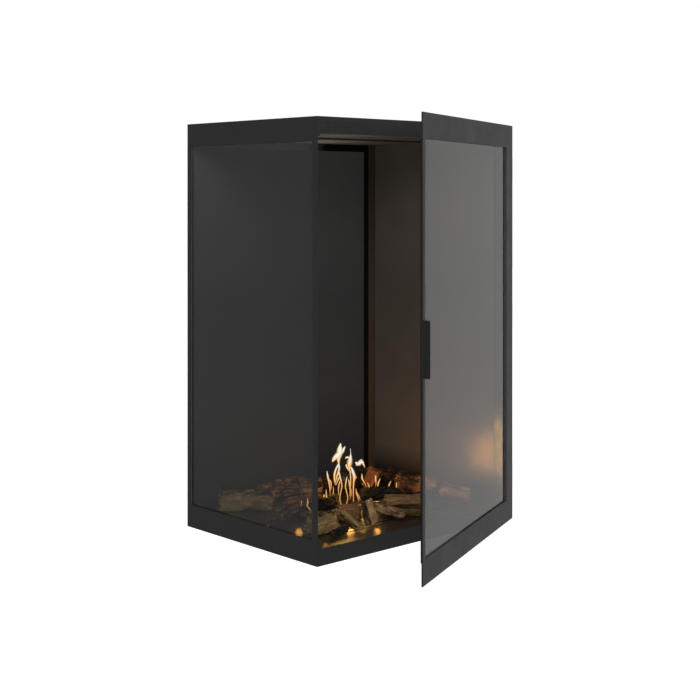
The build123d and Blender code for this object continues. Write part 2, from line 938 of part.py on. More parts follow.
nodes = {
    "base_pan": base_pan,
    "top_rim": top_rim,
    "top_plate": top_plate,
    "rim_screws": rim_screws,
    "catch_magnets": catch_magnets,
    "back_casing": back_casing,
    "right_casing": right_casing,
    "hinge_post": hinge_post,
    "corner_blocks": corner_blocks,
    "side_frame": side_frame,
    "side_gasket": side_gasket,
    "side_glass": side_glass,
    "side_glass_clips": side_glass_clips,
    "ceiling_plate": ceiling_plate,
    "ceiling_deflector": ceiling_deflector,
    "back_surround": back_surround,
    "back_panel": back_panel,
    "back_spacers": back_spacers,
    "right_liner": right_liner,
    "side_insulation": side_insulation,
    "back_corner_trim": back_corner_trim,
    "hearth_deck": hearth_deck,
    "deck_bearers": deck_bearers,
    "spill_tray": spill_tray,
    "burner_rest_bars": burner_rest_bars,
    "burner_box": burner_box,
    "burner_wool": burner_wool,
    "burner_top": burner_top,
    "lid_guides": lid_guides,
    "burner_lid": burner_lid,
    "lid_tab": lid_tab,
    "casing_knuckles": casing_knuckles,
    "hinge_pins": hinge_pins,
    "door_frame": door_frame,
    "door_gasket": door_gasket,
    "door_glass": door_glass,
    "door_glass_clips": door_glass_clips,
    "door_handle": door_handle,
    "handle_screws": handle_screws,
    "door_knuckles": door_knuckles,
}

os.makedirs("parts", exist_ok=True)
for name, make in nodes.items():
    export_step(make(), f"parts/{name}.step")
for name, shape in laid_nodes().items():
    export_step(shape, f"parts/{name}.step")
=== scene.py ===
import functools
import itertools
import json
import math
import random
import bpy
import bmesh
import numpy as np
from mathutils import Matrix, Vector

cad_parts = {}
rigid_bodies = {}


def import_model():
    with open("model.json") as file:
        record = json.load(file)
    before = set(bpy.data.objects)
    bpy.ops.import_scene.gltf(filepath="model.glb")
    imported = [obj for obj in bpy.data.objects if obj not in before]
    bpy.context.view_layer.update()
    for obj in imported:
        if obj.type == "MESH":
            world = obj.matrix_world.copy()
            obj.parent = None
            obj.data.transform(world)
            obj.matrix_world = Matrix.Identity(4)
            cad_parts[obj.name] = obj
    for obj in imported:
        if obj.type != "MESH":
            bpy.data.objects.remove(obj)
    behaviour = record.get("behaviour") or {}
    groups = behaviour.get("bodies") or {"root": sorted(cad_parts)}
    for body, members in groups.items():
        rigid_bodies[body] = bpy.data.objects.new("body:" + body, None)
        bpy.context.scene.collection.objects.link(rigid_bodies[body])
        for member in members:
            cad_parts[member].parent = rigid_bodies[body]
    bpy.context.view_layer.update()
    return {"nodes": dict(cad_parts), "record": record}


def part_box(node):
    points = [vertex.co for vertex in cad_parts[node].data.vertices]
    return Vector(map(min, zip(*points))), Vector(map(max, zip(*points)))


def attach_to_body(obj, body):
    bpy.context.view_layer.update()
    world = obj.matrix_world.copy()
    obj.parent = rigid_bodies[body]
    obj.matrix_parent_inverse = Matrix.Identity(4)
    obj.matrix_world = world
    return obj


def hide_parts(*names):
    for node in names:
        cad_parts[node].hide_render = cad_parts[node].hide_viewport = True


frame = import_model()
nodes = frame["nodes"]
record = frame["record"]
bodyOf = {node: body for body, members in record["behaviour"]["bodies"].items() for node in members}
mm = 0.001
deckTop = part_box("hearth_deck")[1].z
print("frame loaded:", len(nodes), "nodes")


# Small helpers for materials

def hexColour(text):  # sRGB hex to linear
    parts = [int(text[i:i + 2], 16) / 255 for i in (1, 3, 5)]
    linear = [p / 12.92 if p <= 0.04045 else ((p + 0.055) / 1.055) ** 2.4 for p in parts]
    return (*linear, 1)


def add(tree, kind, inputs=None, out=0, stops=(), **settings):  # one node with its settings, values and links
    node = tree.nodes.new(kind if "Node" in kind else "ShaderNode" + kind)
    for name, value in settings.items():
        setattr(node, name, value)
    for index, (position, tone) in enumerate(stops):  # of a colour ramp: place, and hex colour or grey level
        elements = node.color_ramp.elements
        stop = elements[index] if index < 2 else elements.new(position)
        stop.position = position
        stop.color = hexColour(tone) if isinstance(tone, str) else (tone, tone, tone, 1)
    for name, given in (inputs or {}).items():
        for value in given if isinstance(given, list) else [given]:
            if isinstance(value, bpy.types.NodeSocket):
                tree.links.new(value, node.inputs[name])
            elif isinstance(value, str) and value.startswith("#"):
                node.inputs[name].default_value = hexColour(value)
            else:
                node.inputs[name].default_value = value
    return node.outputs if out is None else node.outputs[out]


def newMaterial(name, recipe, *options):  # recipe: adds one finish's nodes and gives back its shader
    material = bpy.data.materials.new(name)
    material.use_nodes = True
    material.node_tree.nodes.clear()
    node = functools.partial(add, material.node_tree)
    shader = recipe(node, node("TexCoord", out="Object"), *options)
    node("OutputMaterial", {"Surface": shader}, None)
    return material


def seenStraight(node):  # 1 for the camera's rays, also through glass, and 1 for all that nothing mirrored
    rays = node("LightPath", out=None)
    straight = node("Math", {0: rays["Glossy Depth"], 1: 0.5}, operation="LESS_THAN")
    through = node("Math", {0: rays["Is Transmission Ray"], 1: straight}, operation="MULTIPLY")
    return node("Math", {0: rays["Is Camera Ray"], 1: through}, operation="MAXIMUM"), straight


def finished(node, tone, rough, height, depthMm, strength, more=None):  # the shader, with its fine relief
    relief = node("Bump", {"Height": height, "Distance": depthMm * mm, "Strength": strength})
    return node("BsdfPrincipled", {"Base Color": tone, "Roughness": rough, "Normal": relief, **(more or {})})


def coated(node, place, tone, wearMm, rough, peelMm, depthMm, strength, more):  # a coat with uneven gloss
    worn = node("TexNoise", {"Vector": place, "Scale": 1 / (wearMm * mm), **cloudy})
    gloss = node("MapRange", {
        "Value": worn, "From Min": 0.3, "From Max": 0.7, "To Min": rough[0], "To Max": rough[1]})
    peel = node("TexNoise", {"Vector": place, "Scale": 1 / (peelMm * mm), **faint})
    return finished(node, tone, gloss, peel, depthMm, strength, more)


def clouded(node, pattern, low, high, tones, most=1.0):  # the second tone where the pattern is high
    share = node("ValToRGB", {0: pattern}, stops=[(low, 0.0), (high, most)])
    return node("Mix", {0: share, 6: tones[0], 7: tones[1]}, **blend)


cloudy = {"Detail": 4, "Roughness": 0.55}  # noise with soft blobs and some finer ones on them
faint = {"Detail": 2, "Roughness": 0.55}
brushed = {"Detail": 3, "Roughness": 0.55}
blend = {"out": 2, "data_type": "RGBA"}  # a Mix node of colours: 0 is the share, 6 the first and 7 the second
multiply = {**blend, "blend_type": "MULTIPLY"}


# Painted steel: electrostatic powder coat, baked. Fine orange peel breaks up the gloss.

def powderCoat(node, place, tones, rough, ior=1.5):
    cloud = node("TexNoise", {"Vector": place, "Scale": 1 / (180 * mm), **cloudy})
    tone = clouded(node, cloud, 0.3, 0.7, tones)
    return coated(node, place, tone, 60, rough, 1.6, 0.04, 0.35, {"IOR": ior})


# Heat-proof matt coat of the fire chamber, toned by the height in m. On the back panel this is painted light:
# paler towards the top, where less light reaches it.

def chamberCoat(node, place, tones, rough, shine=0.5, leftPaintedLightTones=None):
    across, _, height = node("SeparateXYZ", {0: place}, None)
    tone = node("ValToRGB", {0: height}, stops=tones)
    if leftPaintedLightTones:  # the left part takes the back panel's tones, painted light paler upwards, in place of the black
        left = node("ValToRGB", {0: height}, stops=leftPaintedLightTones)
        tone = clouded(node, across, 0.05, 0.12, (left, tone))
    cloud = node("TexNoise", {"Vector": place, "Scale": 1 / (90 * mm), **cloudy})
    cloud = node("MapRange", {"Value": cloud, "To Min": 0.9, "To Max": 1.1})
    tone = node("Mix", {0: 1.0, 6: tone, 7: cloud}, **multiply)
    return coated(node, place, tone, 25, rough, 1.2, 0.03, 0.3, {"IOR": 1.5, "Specular IOR Level": shine})


# Satin stainless liner: a fine vertical grain draws out soft mirror images. Heat has browned it, so it counts
# as half metal. Its tone is painted darker by height: painted shade at its foot, towards the logs, less up its
# middle, and full tone near its top.

def satinSteel(node, place):
    drawn = node("Mapping", {"Vector": place, "Scale": (1, 1, 0.04)})
    grain = node("TexNoise", {"Vector": drawn, "Scale": 1 / (1.2 * mm), **brushed})
    cloud = node("TexNoise", {"Vector": place, "Scale": 1 / (140 * mm), **cloudy})
    tone = clouded(node, cloud, 0.35, 0.65, ("#837970", "#7c7167"))
    height = node("SeparateXYZ", {0: place}, "Z")
    # painted shade by height: darkest at the foot, towards the logs, full tone near the top
    paintedShadeByHeight = node("ValToRGB", {0: height}, stops=[(0.065, 0.17), (0.135, 0.66), (0.60, 0.66), (0.78, 1.0)])
    tone = node("Mix", {0: 1.0, 6: tone, 7: paintedShadeByHeight}, **multiply)
    gloss = node("MapRange", {"Value": grain, "To Min": 0.28, "To Max": 0.36})
    return finished(node, tone, gloss, grain, 0.02, 0.2, {"Metallic": 0.5})


# Glass-enamelled hearth plate: glossy black, with fired-on pores and a film of ash here and there.

def hearthEnamel(node, place):
    film = node("TexNoise", {"Vector": place, "Scale": 1 / (45 * mm), "Detail": 6, "Roughness": 0.55})
    film = node("ValToRGB", {0: film}, stops=[(0.42, 0.0), (0.72, 1.0)])
    tone = node("Mix", {0: film, 6: "#15120f", 7: "#241f1a"}, **blend)
    gloss = node("MapRange", {"Value": film, "To Min": 0.30, "To Max": 0.36})
    pores = node("TexNoise", {"Vector": place, "Scale": 1 / (6 * mm), **faint})
    return finished(node, tone, gloss, pores, 0.03, 0.1, {"IOR": 1.55})


# Sheet steel of the inner parts: rolled and brushed, or zinc coated with spangles.

def sheetSteel(node, place, base, stroke, rough):
    drawn = node("Mapping", {"Vector": place, "Scale": stroke})
    grain = node("TexNoise", {"Vector": drawn, "Scale": 1 / (1.0 * mm), **brushed})
    spangle = node("TexVoronoi", {"Vector": place, "Scale": 1 / (9 * mm)}, "Color")
    patch = node("SeparateColor", {"Color": spangle}, "Red")
    tone = clouded(node, patch, 0.0, 1.0, (base, "#6f7072"), 0.25)
    gloss = node("MapRange", {"Value": grain, "To Min": rough - 0.08, "To Max": rough + 0.08})
    return finished(node, tone, gloss, grain, 0.02, 0.3, {"Metallic": 1.0})


# Heat-proof float glass, slightly smoked: flat and clear. Lamps reach through it.

def floatGlass(node, _):
    glass = node("BsdfPrincipled", {
        "Base Color": "#c2c4c3", "Roughness": 0.0, "IOR": 1.5, "Transmission Weight": 1.0})
    clear = node("BsdfTransparent", {"Color": "#f0f2f1"})
    rays = node("LightPath", out=None)
    passing = node("Math", {0: rays["Is Shadow Ray"], 1: rays["Is Diffuse Ray"]}, operation="MAXIMUM")
    return node("MixShader", {0: passing, 1: glass, 2: clear})


# Woven glass-fibre tape, grey. Its ribs are drawn 3 mm apart, coarser than the real 0.8 mm, so that they show.

def wovenTape(node, place):
    ribs = {"Vector": place, "Scale": 1 / (8.4 * mm), "Distortion": 0.4}
    ribs = node("TexWave", ribs, "Fac", bands_direction="DIAGONAL")
    tone = node("Mix", {0: ribs, 6: "#6c6a68", 7: "#8c8a87"}, **blend)
    return finished(node, tone, 0.9, ribs, 0.2, 0.6)


# Matt stuff with a grain. Ceramic wool: white fibres, dulled where the flames stand. Pressed mineral board:
# pale and coarse. Moulded plastic of the magnetic catches: a fine spark-eroded texture.

def grainyStuff(node, place, grainMm, detail, uneven, tones, rough, depthMm, strength):
    grain = {"Vector": place, "Scale": 1 / (grainMm * mm), "Detail": detail, "Roughness": uneven}
    grain = node("TexNoise", grain)
    tone = node("Mix", {0: grain, 6: tones[0], 7: tones[1]}, **blend)
    return finished(node, tone, rough, grain, depthMm, strength)


# Cast ceramic logs. Each log carries "grain", its own coordinates with X along the log, "bark", 1 where the
# cast has bark and 0 on split faces, "crevice", 1 in the bark's cracks, which are painted near black, partly
# the bark's own dark and partly painted shade, and "char", 1 where fire blackened it.

def castLog(node, _, look):
    cut, cutDark, bark, barkDark, lichen = look
    grain = node("Attribute", out="Vector", attribute_name="grain")
    onBark, crevice, charred = (
        node("Attribute", out="Fac", attribute_name=name) for name in ("bark", "crevice", "char"))
    along, wide = (node("Mapping", {"Vector": grain, "Scale": (draw, 1, 1)}) for draw in (0.16, 0.35))
    fibres, bands, scales, patches, pits = (
        node("TexNoise", {"Vector": vector, "Scale": 1 / (sizeMm * mm), "Detail": detail, "Roughness": uneven})
        for vector, sizeMm, detail, uneven in (
            (along, 3.2, 5, 0.6), (along, 11, 2, 0.55), (wide, 9, 6, 0.62), (grain, 30, 3, 0.55),
            (grain, 8, 6, 0.7)))
    fibreShare, bandShare, scaleShare, lichenShare, sootShare, pitShare = (
        node("ValToRGB", {0: pattern}, stops=[(low, start), (high, end)])
        for pattern, low, start, high, end in (
            (fibres, 0.32, 0.0, 0.66, 1.0), (bands, 0.40, 0.55, 0.62, 0.0), (scales, 0.34, 0.0, 0.62, 1.0),
            (patches, 0.50, 0.0, 0.66, 0.65), (patches, 0.3, 0.7, 0.6, 1.0), (pits, 0.40, 0.85, 0.54, 0.0)))
    soot = node("Math", {0: charred, 1: sootShare}, operation="MULTIPLY")
    pitted = node("MapRange", {"Value": onBark, "To Min": 0.4, "To Max": 1.0})
    pitted = node("Mix", {0: 1.0, 6: pitShare, 7: pitted}, **multiply)

    def layered(base, *layers):  # each layer's share and tone over those before it
        for share, tone in layers:
            base = node("Mix", {0: share, 6: base, 7: tone}, **blend)
        return base

    splitFace = layered(cutDark, (fibreShare, cut), (bandShare, cutDark))
    # the bark's cracks painted near black: partly its own dark, partly painted shade
    rind = layered(barkDark, (scaleShare, bark), (lichenShare, lichen), (crevice, "#0b0806"))
    skin = layered(splitFace, (onBark, rind), (pitted, barkDark), (soot, "#0d0b0a"))
    height = node("Mix", {0: onBark, 2: fibres, 3: scales}, data_type="FLOAT")
    return finished(node, skin, 0.88, height, 1.4, 0.8, {"Specular IOR Level": 0.3})


# Flame: glows and lets what is behind it show. "core" is 1 in the middle of a strand and 0 at its rim. "rise"
# is the height, over which it goes from red-brown to gold to white. What mirrors the fire sees it as bright as
# a real flame, which a picture can't show face on.

flameTones = {  # core and colour
    "low": [(0.0, "#240803"), (0.3, "#722808"), (0.6, "#bc6428"), (1.0, "#ffcc84")],
    "body": [(0.0, "#5c220a"), (0.3, "#b2581a"), (0.6, "#eca044"), (1.0, "#ffe8a0")],
    "high": [(0.0, "#7c6030"), (0.25, "#c09c54"), (0.5, "#ece4c4"), (0.9, "#f8f7f2")],
}


def flameGlow(node, _):
    core, rise = (node("Attribute", out="Fac", attribute_name=name) for name in ("core", "rise"))
    seen, body, high = (node("ValToRGB", {0: core}, stops=stops) for stops in flameTones.values())
    for tone, start, end in ((body, 0.15, 0.60), (high, 0.65, 1.0)):
        seen = clouded(node, rise, start, end, (seen, tone))
    straight = seenStraight(node)[0]
    tone = node("Mix", {0: straight, 6: "#ffc060", 7: seen}, **blend)
    power = node("MapRange", {"Value": straight, "To Min": 12.0, "To Max": 1.0})
    light = node("Emission", {"Color": tone, "Strength": power})
    solid = node("ValToRGB", {0: core}, stops=[(0.0, 0.0), (0.3, 0.35), (0.6, 0.95)])
    return node("MixShader", {0: solid, 1: node("BsdfTransparent"), 2: light})


# back panel tones: painted light, paler towards the top where less light reaches it
panelPaintedLightTones = [(0.1, "#303030"), (0.3, "#3b3b3b"), (0.55, "#3c3c3c"), (0.8, "#4f4f4f"), (0.93, "#5c5c5c")]
finishes = {  # material: its recipe, and what that asks for
    "casingPowderCoat": (powderCoat, ("#242424", "#272727"), (0.42, 0.50)),
    "doorPowderCoat": (powderCoat, ("#202020", "#242424"), (0.38, 0.46), 1.42),
    "handlePowderCoat": (powderCoat, ("#181818", "#1b1b1b"), (0.5, 0.58)),
    "backPanelMattCoat": (chamberCoat, panelPaintedLightTones, (0.60, 0.72), 0.15),
    # back surround: black, its left part in the back panel's tones with their painted light, paler still at the
    # top
    "sootBlackCoat": (chamberCoat, [(0.1, "#0c0a08"), (0.9, "#100f0d")], (0.60, 0.72), 0.15,
                      panelPaintedLightTones + [(0.942, "#6e6a66")]),
    "trimMattCoat": (chamberCoat, [(0.1, "#443527"), (0.6, "#403730")], (0.50, 0.60), 0.3),
    "ceilingSatinCoat": (chamberCoat, [(0.0, "#5c5852"), (1.0, "#5c5852")], (0.42, 0.52)),
    "satinLinerSteel": (satinSteel,), "hearthEnamel": (hearthEnamel,),
    "zincCoatedSteel": (sheetSteel, "#8e9092", (1, 1, 1), 0.45),
    "brushedStainless": (sheetSteel, "#9a9894", (0.02, 1, 1), 0.32),
    "blackenedScrewSteel": (sheetSteel, "#2a2a2b", (1, 1, 1), 0.4),
    "smokedFloatGlass": (floatGlass,), "sealTape": (wovenTape,),
    "ceramicWool": (grainyStuff, 1.5, 6, 0.7, ("#8f877a", "#e6e1d6"), 1.0, 0.6, 0.8),
    "mineralBoard": (grainyStuff, 3.0, 6, 0.65, ("#6e675c", "#a9a294"), 0.95, 0.4, 0.6),
    "mouldedPlastic": (grainyStuff, 0.8, 3, 0.55, ("#212121", "#282828"), 0.55, 0.05, 0.5),
    "flameGlow": (flameGlow,),
}
materials = {name: newMaterial(name, *recipe) for name, recipe in finishes.items()}
print("materials made:", len(materials))


# CAD nodes that keep their shape get their material; sheet and plate parts also get rounded edges

def attach(piece, replaced, finish):  # a finished piece rides where the nodes it stands for do
    piece.data.materials.clear()
    piece.data.materials.append(materials[finish])
    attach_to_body(piece, bodyOf[replaced[0]])
    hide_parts(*replaced)


def linked(name, mesh):
    piece = bpy.data.objects.new(name, mesh)
    bpy.context.scene.collection.objects.link(piece)
    return piece


def carrying(name, points, faces, **carried):  # a smooth mesh with numbers or vectors on its points
    mesh = bpy.data.meshes.new(name)
    mesh.from_pydata(points, [], faces)
    mesh.polygons.foreach_set("use_smooth", [True] * len(faces))
    for label, values in carried.items():
        kind, key = ("FLOAT_VECTOR", "vector") if np.ndim(values) == 2 else ("FLOAT", "value")
        mesh.attributes.new(label, kind, "POINT").data.foreach_set(key, np.ravel(values))
    return mesh


def mergedCopy(nodeName):  # the node's mesh as a bmesh with its loose triangles joined
    source = bmesh.new()
    source.from_mesh(nodes[nodeName].data)
    bmesh.ops.remove_doubles(source, verts=source.verts, dist=0.002 * mm)
    return source


def meshFrom(shape, name):
    mesh = bpy.data.meshes.new(name)
    shape.to_mesh(mesh)
    shape.free()
    return mesh


def roundedCopy(nodeName, radiusMm):
    shape = mergedCopy(nodeName)
    bmesh.ops.dissolve_limit(shape, angle_limit=math.radians(1), verts=shape.verts, edges=shape.edges)
    sharp = [edge for edge in shape.edges if edge.is_manifold and edge.calc_face_angle(0) > math.radians(30)]
    bmesh.ops.bevel(shape, geom=sharp, offset=radiusMm * mm, segments=2, profile=0.5, affect="EDGES",
                    clamp_overlap=True)
    return linked(nodeName + "_rounded", meshFrom(shape, nodeName + "Rounded"))


roundedParts = {  # finish: its nodes, each with its edge radius in mm
    "casingPowderCoat": {"base_pan": 0.6, "top_rim": 0.6, "top_plate": 0.4, "side_frame": 0.5,
                         "hinge_post": 0.5, "corner_blocks": 0.3},
    "doorPowderCoat": {"door_frame": 0.5}, "handlePowderCoat": {"door_handle": 0.5},
    "hearthEnamel": {"hearth_deck": 0.5}, "smokedFloatGlass": {"side_glass": 0.6, "door_glass": 0.6},
    "brushedStainless": {"burner_top": 0.3, "burner_lid": 0.25}, "mouldedPlastic": {"catch_magnets": 0.5},
    "ceilingSatinCoat": {"ceiling_deflector": 0.3},
}
plainParts = {  # finish: its nodes
    "casingPowderCoat": ["back_casing", "right_casing", "casing_knuckles"],
    "doorPowderCoat": ["door_knuckles"], "ceilingSatinCoat": ["ceiling_plate"],
    "sootBlackCoat": ["back_surround"], "backPanelMattCoat": ["back_panel"],
    "satinLinerSteel": ["right_liner"], "trimMattCoat": ["back_corner_trim"],
    "zincCoatedSteel": ["deck_bearers", "spill_tray", "burner_rest_bars", "side_glass_clips",
                        "door_glass_clips"],
    "brushedStainless": ["burner_box", "lid_guides", "lid_tab"], "blackenedScrewSteel": ["hinge_pins"],
    "mineralBoard": ["side_insulation", "back_spacers"], "sealTape": ["side_gasket", "door_gasket"],
}
for finish, radii in roundedParts.items():
    for nodeName, radiusMm in radii.items():
        attach(roundedCopy(nodeName, radiusMm), [nodeName], finish)
for finish, nodeNames in plainParts.items():
    for nodeName in nodeNames:
        nodes[nodeName].data.materials.clear()
        nodes[nodeName].data.materials.append(materials[finish])
print("casing and door dressed")


# Noise on whole arrays of points, the same on every run

def cellDraw(cells, seed):  # a draw from 0 to 1 for each whole-number cell
    x, y, z = (cells[..., axis].astype(np.int64) for axis in range(3))
    value = (x * 73856093) ^ (y * 19349663) ^ (z * 83492791) ^ (seed * 6542989)
    value = ((value ^ (value >> 13)) * 1274126177) & 0x7FFFFFFF
    return ((value ^ (value >> 15)) & 0xFFFF) / 65535


def softNoise(points, seed=0):  # smooth, from -1 to 1
    cells = np.floor(points)
    part = points - cells
    part = part * part * (3 - 2 * part)
    total = 0
    for corner in itertools.product((0, 1), repeat=3):
        weight = np.prod(np.where(np.array(corner) == 1, part, 1 - part), axis=-1)
        total = total + weight * cellDraw(cells + corner, seed)
    return total * 2 - 1


def roughNoise(points, seed=0, octaves=3):  # finer and finer noise added up
    return sum(softNoise(points * 2 ** octave, seed + octave) / 2 ** octave for octave in range(octaves))


def cellEdges(points, seed=0):  # 0 on the cracks between cells, rising towards their middles
    cells = np.floor(points)
    distances = []
    for offset in itertools.product((-1, 0, 1), repeat=3):
        cell = cells + offset
        middle = cell + np.stack([cellDraw(cell, seed + axis) for axis in range(3)], axis=-1)
        distances.append(np.linalg.norm(points - middle, axis=-1))
    nearest = np.sort(np.stack(distances), axis=0)
    return nearest[1] - nearest[0]


def smoothStep(low, high, value):
    share = np.clip((value - low) / (high - low), 0, 1)
    return share * share * (3 - 2 * share)


# Logs: the same cast sections as the solids, with bark, split faces, ragged ends and soot

sectionCorners = {  # shares of width and height, flat at the foot
    "split": [(-0.46, 0.0), (0.44, 0.0), (0.50, 0.22), (0.20, 0.92), (0.04, 1.0), (-0.24, 0.86), (-0.48, 0.36)],
    "half": [(-0.40, 0.0), (0.40, 0.0), (0.50, 0.34), (0.40, 0.80), (0.06, 1.0), (-0.30, 0.90), (-0.50, 0.42)],
    "round": [(-0.24, 0.0), (0.24, 0.0), (0.47, 0.24), (0.49, 0.66), (0.24, 0.95), (-0.12, 1.0),
              (-0.43, 0.76), (-0.49, 0.28)],
    "wedge": [(-0.50, 0.0), (0.48, 0.0), (0.50, 0.20), (-0.08, 1.0), (-0.32, 0.94), (-0.50, 0.50)],
}
logLooks = {  # cut wood, its dark grain, bark, its dark part, lichen
    "oakOlive": ("#756040", "#32271a", "#463926", "#130e09", "#625436"),
    "pineTan": ("#5f492e", "#30231a", "#4a3826", "#160f09", "#5c4a30"),
    "rustBark": ("#7c4c2a", "#3e2616", "#754a28", "#24160d", "#7c5636"),
    # a paler copy of rustBark for the right-hand logs: painted light in place of more lamp light
    "rustLight": ("#a06a40", "#4a2e1c", "#a06c40", "#3a2416", "#a88460"),
    "umberBark": ("#6a4c34", "#2c1e14", "#5a4030", "#1a120c", "#624a38"),
    "wornOak": ("#66543c", "#30261a", "#5e4c36", "#281f15", "#665339"),
    "greyBark": ("#6a5543", "#30261d", "#493a2b", "#14100b", "#5e4c38"),
    "darkBark": ("#4c3a24", "#20170e", "#2c2116", "#0b0805", "#4a3d24"),
    "coalBlack": ("#2e2720", "#120f0c", "#1d1b19", "#080706", "#2c2c2a"),
}
materials.update({name: newMaterial(name, castLog, look) for name, look in logLooks.items()})
logPieces = {  # node: each of its logs' section, turn, lean, look, and arc of split wood in degrees
    "log_left_split": [("split", -44, 0, "oakOlive", (150, 250))],
    "log_rear_left_bark": [("half", -20, 5, "rustBark", ())],
    "log_left_bark": [("round", -16, 0, "rustBark", ())],
    "log_rear_grey": [("half", -20, 0, "greyBark", (150, 200))],
    "branch_pair": [("round", 0, 14, "oakOlive", ()), ("round", -74, 0, "oakOlive", ())],
    "log_front_left": [("split", 4, 0, "oakOlive", (120, 250))],
    "kindling": [("half", 10, 0, "coalBlack", ()), ("round", 0, 0, "darkBark", ())],
    "log_front_split": [("wedge", 80, 14, "oakOlive", (20, 120))],
    "log_front_wedge": [("wedge", 100, 66, "oakOlive", (20, 170))],
    "log_behind_split": [("half", -50, 0, "umberBark", (60, 230))],
    "log_centre_low": [("half", -44, 0, "darkBark", (140, 230))],
    "log_centre_split": [("wedge", -38, 0, "pineTan", (110, 260))],
    "log_centre_round": [("round", -36, -18, "wornOak", ())],
    "log_rear_dark": [("half", -6, 0, "darkBark", ())],
    "log_rear_upright": [("split", -50, 60, "rustBark", (120, 240))],
    "log_rear_right": [("round", -34, 0, "darkBark", ())],
    "log_rear_knot": [("half", 24, 0, "oakOlive", ())],
    "log_right_bark": [("split", -40, 0, "rustLight", (150, 220))],
    "log_right_front": [("half", -62, -10, "rustLight", (150, 220))],
    "charred_logs": [("half", 20, 0, "coalBlack", ()), ("half", -35, 0, "coalBlack", ())],
}
logSlim = {  # node and log: lowest and highest share of the solid's width and height that the log fills
    ("log_front_split", 0): ((0.30, 0.95), (0.0, 0.72)), ("kindling", 0): ((0.30, 1.0), (0.0, 0.72)),
}
logRelief = {("log_centre_round", 0): 0.7}  # node and log: share of the usual relief, on a worn branch
logDetail = {  # sizes in mm, splitWander and splitFade in degrees
    "around": 88, "step": 1.4, "capRings": 6, "crackDepth": 3.4, "crackEdges": (0.03, 0.26),
    "plateDepth": 2.2, "terraceDepth": 2.0, "terraceSteps": 2.5, "fibreDepth": 0.9, "raggedShare": 0.2,
    "bowShare": 0.07, "lumpShare": 0.17, "taperShare": 0.12, "splitWander": 14, "splitFade": 4,
    "sootEnds": 30, "sootReach": 80, "sootFade": (0.35, 1.0), "tornMean": 0.5, "tornSpread": 0.8,
}
logNoise = {  # cells or blobs in a metre along, across and up
    "cracks": (24, 85, 85), "plates": (60, 110, 110), "fibres": (30, 200, 200), "terraces": (14, 60, 60),
    "lumps": (22, 34, 34), "splitEdge": (30, 8, 8), "torn": (0, 90, 90),
}


def islands(nodeName):  # the corner points of each separate solid in a node, from left to right
    shape = mergedCopy(nodeName)
    left = set(shape.verts)
    groups = []
    while left:
        waiting = [left.pop()]
        group = []
        while waiting:
            vert = waiting.pop()
            group.append(tuple(vert.co))
            for edge in vert.link_edges:
                other = edge.other_vert(vert)
                if other in left:
                    left.remove(other)
                    waiting.append(other)
        groups.append(np.array(group))
    shape.free()
    return sorted(groups, key=lambda group: group[:, 0].mean())


def sectionReach(kind, width, height, angles):  # from the section's middle to its outline, for each angle
    shares = sectionCorners[kind]
    span = max(across for across, _ in shares) - min(across for across, _ in shares)
    corners = np.array([(across * width / span, (up - 0.46) * height) for across, up in shares])
    reach = np.zeros(len(angles))
    ways = np.stack([np.cos(angles), np.sin(angles)], axis=1)
    for start, end in zip(corners, np.roll(corners, -1, axis=0)):
        edge = end - start
        det = ways[:, 0] * edge[1] - ways[:, 1] * edge[0]
        det = np.where(np.abs(det) < 1e-12, 1e-12, det)
        distance = (start[0] * edge[1] - start[1] * edge[0]) / det
        along = (start[0] * ways[:, 1] - start[1] * ways[:, 0]) / det
        hit = (along > -1e-6) & (along < 1 + 1e-6) & (distance > 0)
        reach = np.where(hit, np.maximum(reach, distance), reach)
    return reach


def turned(turn, lean):  # how a log is turned about Z and raised at its far end
    return np.array(Matrix.Rotation(math.radians(turn), 3, "Z") @ Matrix.Rotation(math.radians(-lean), 3, "Y"))


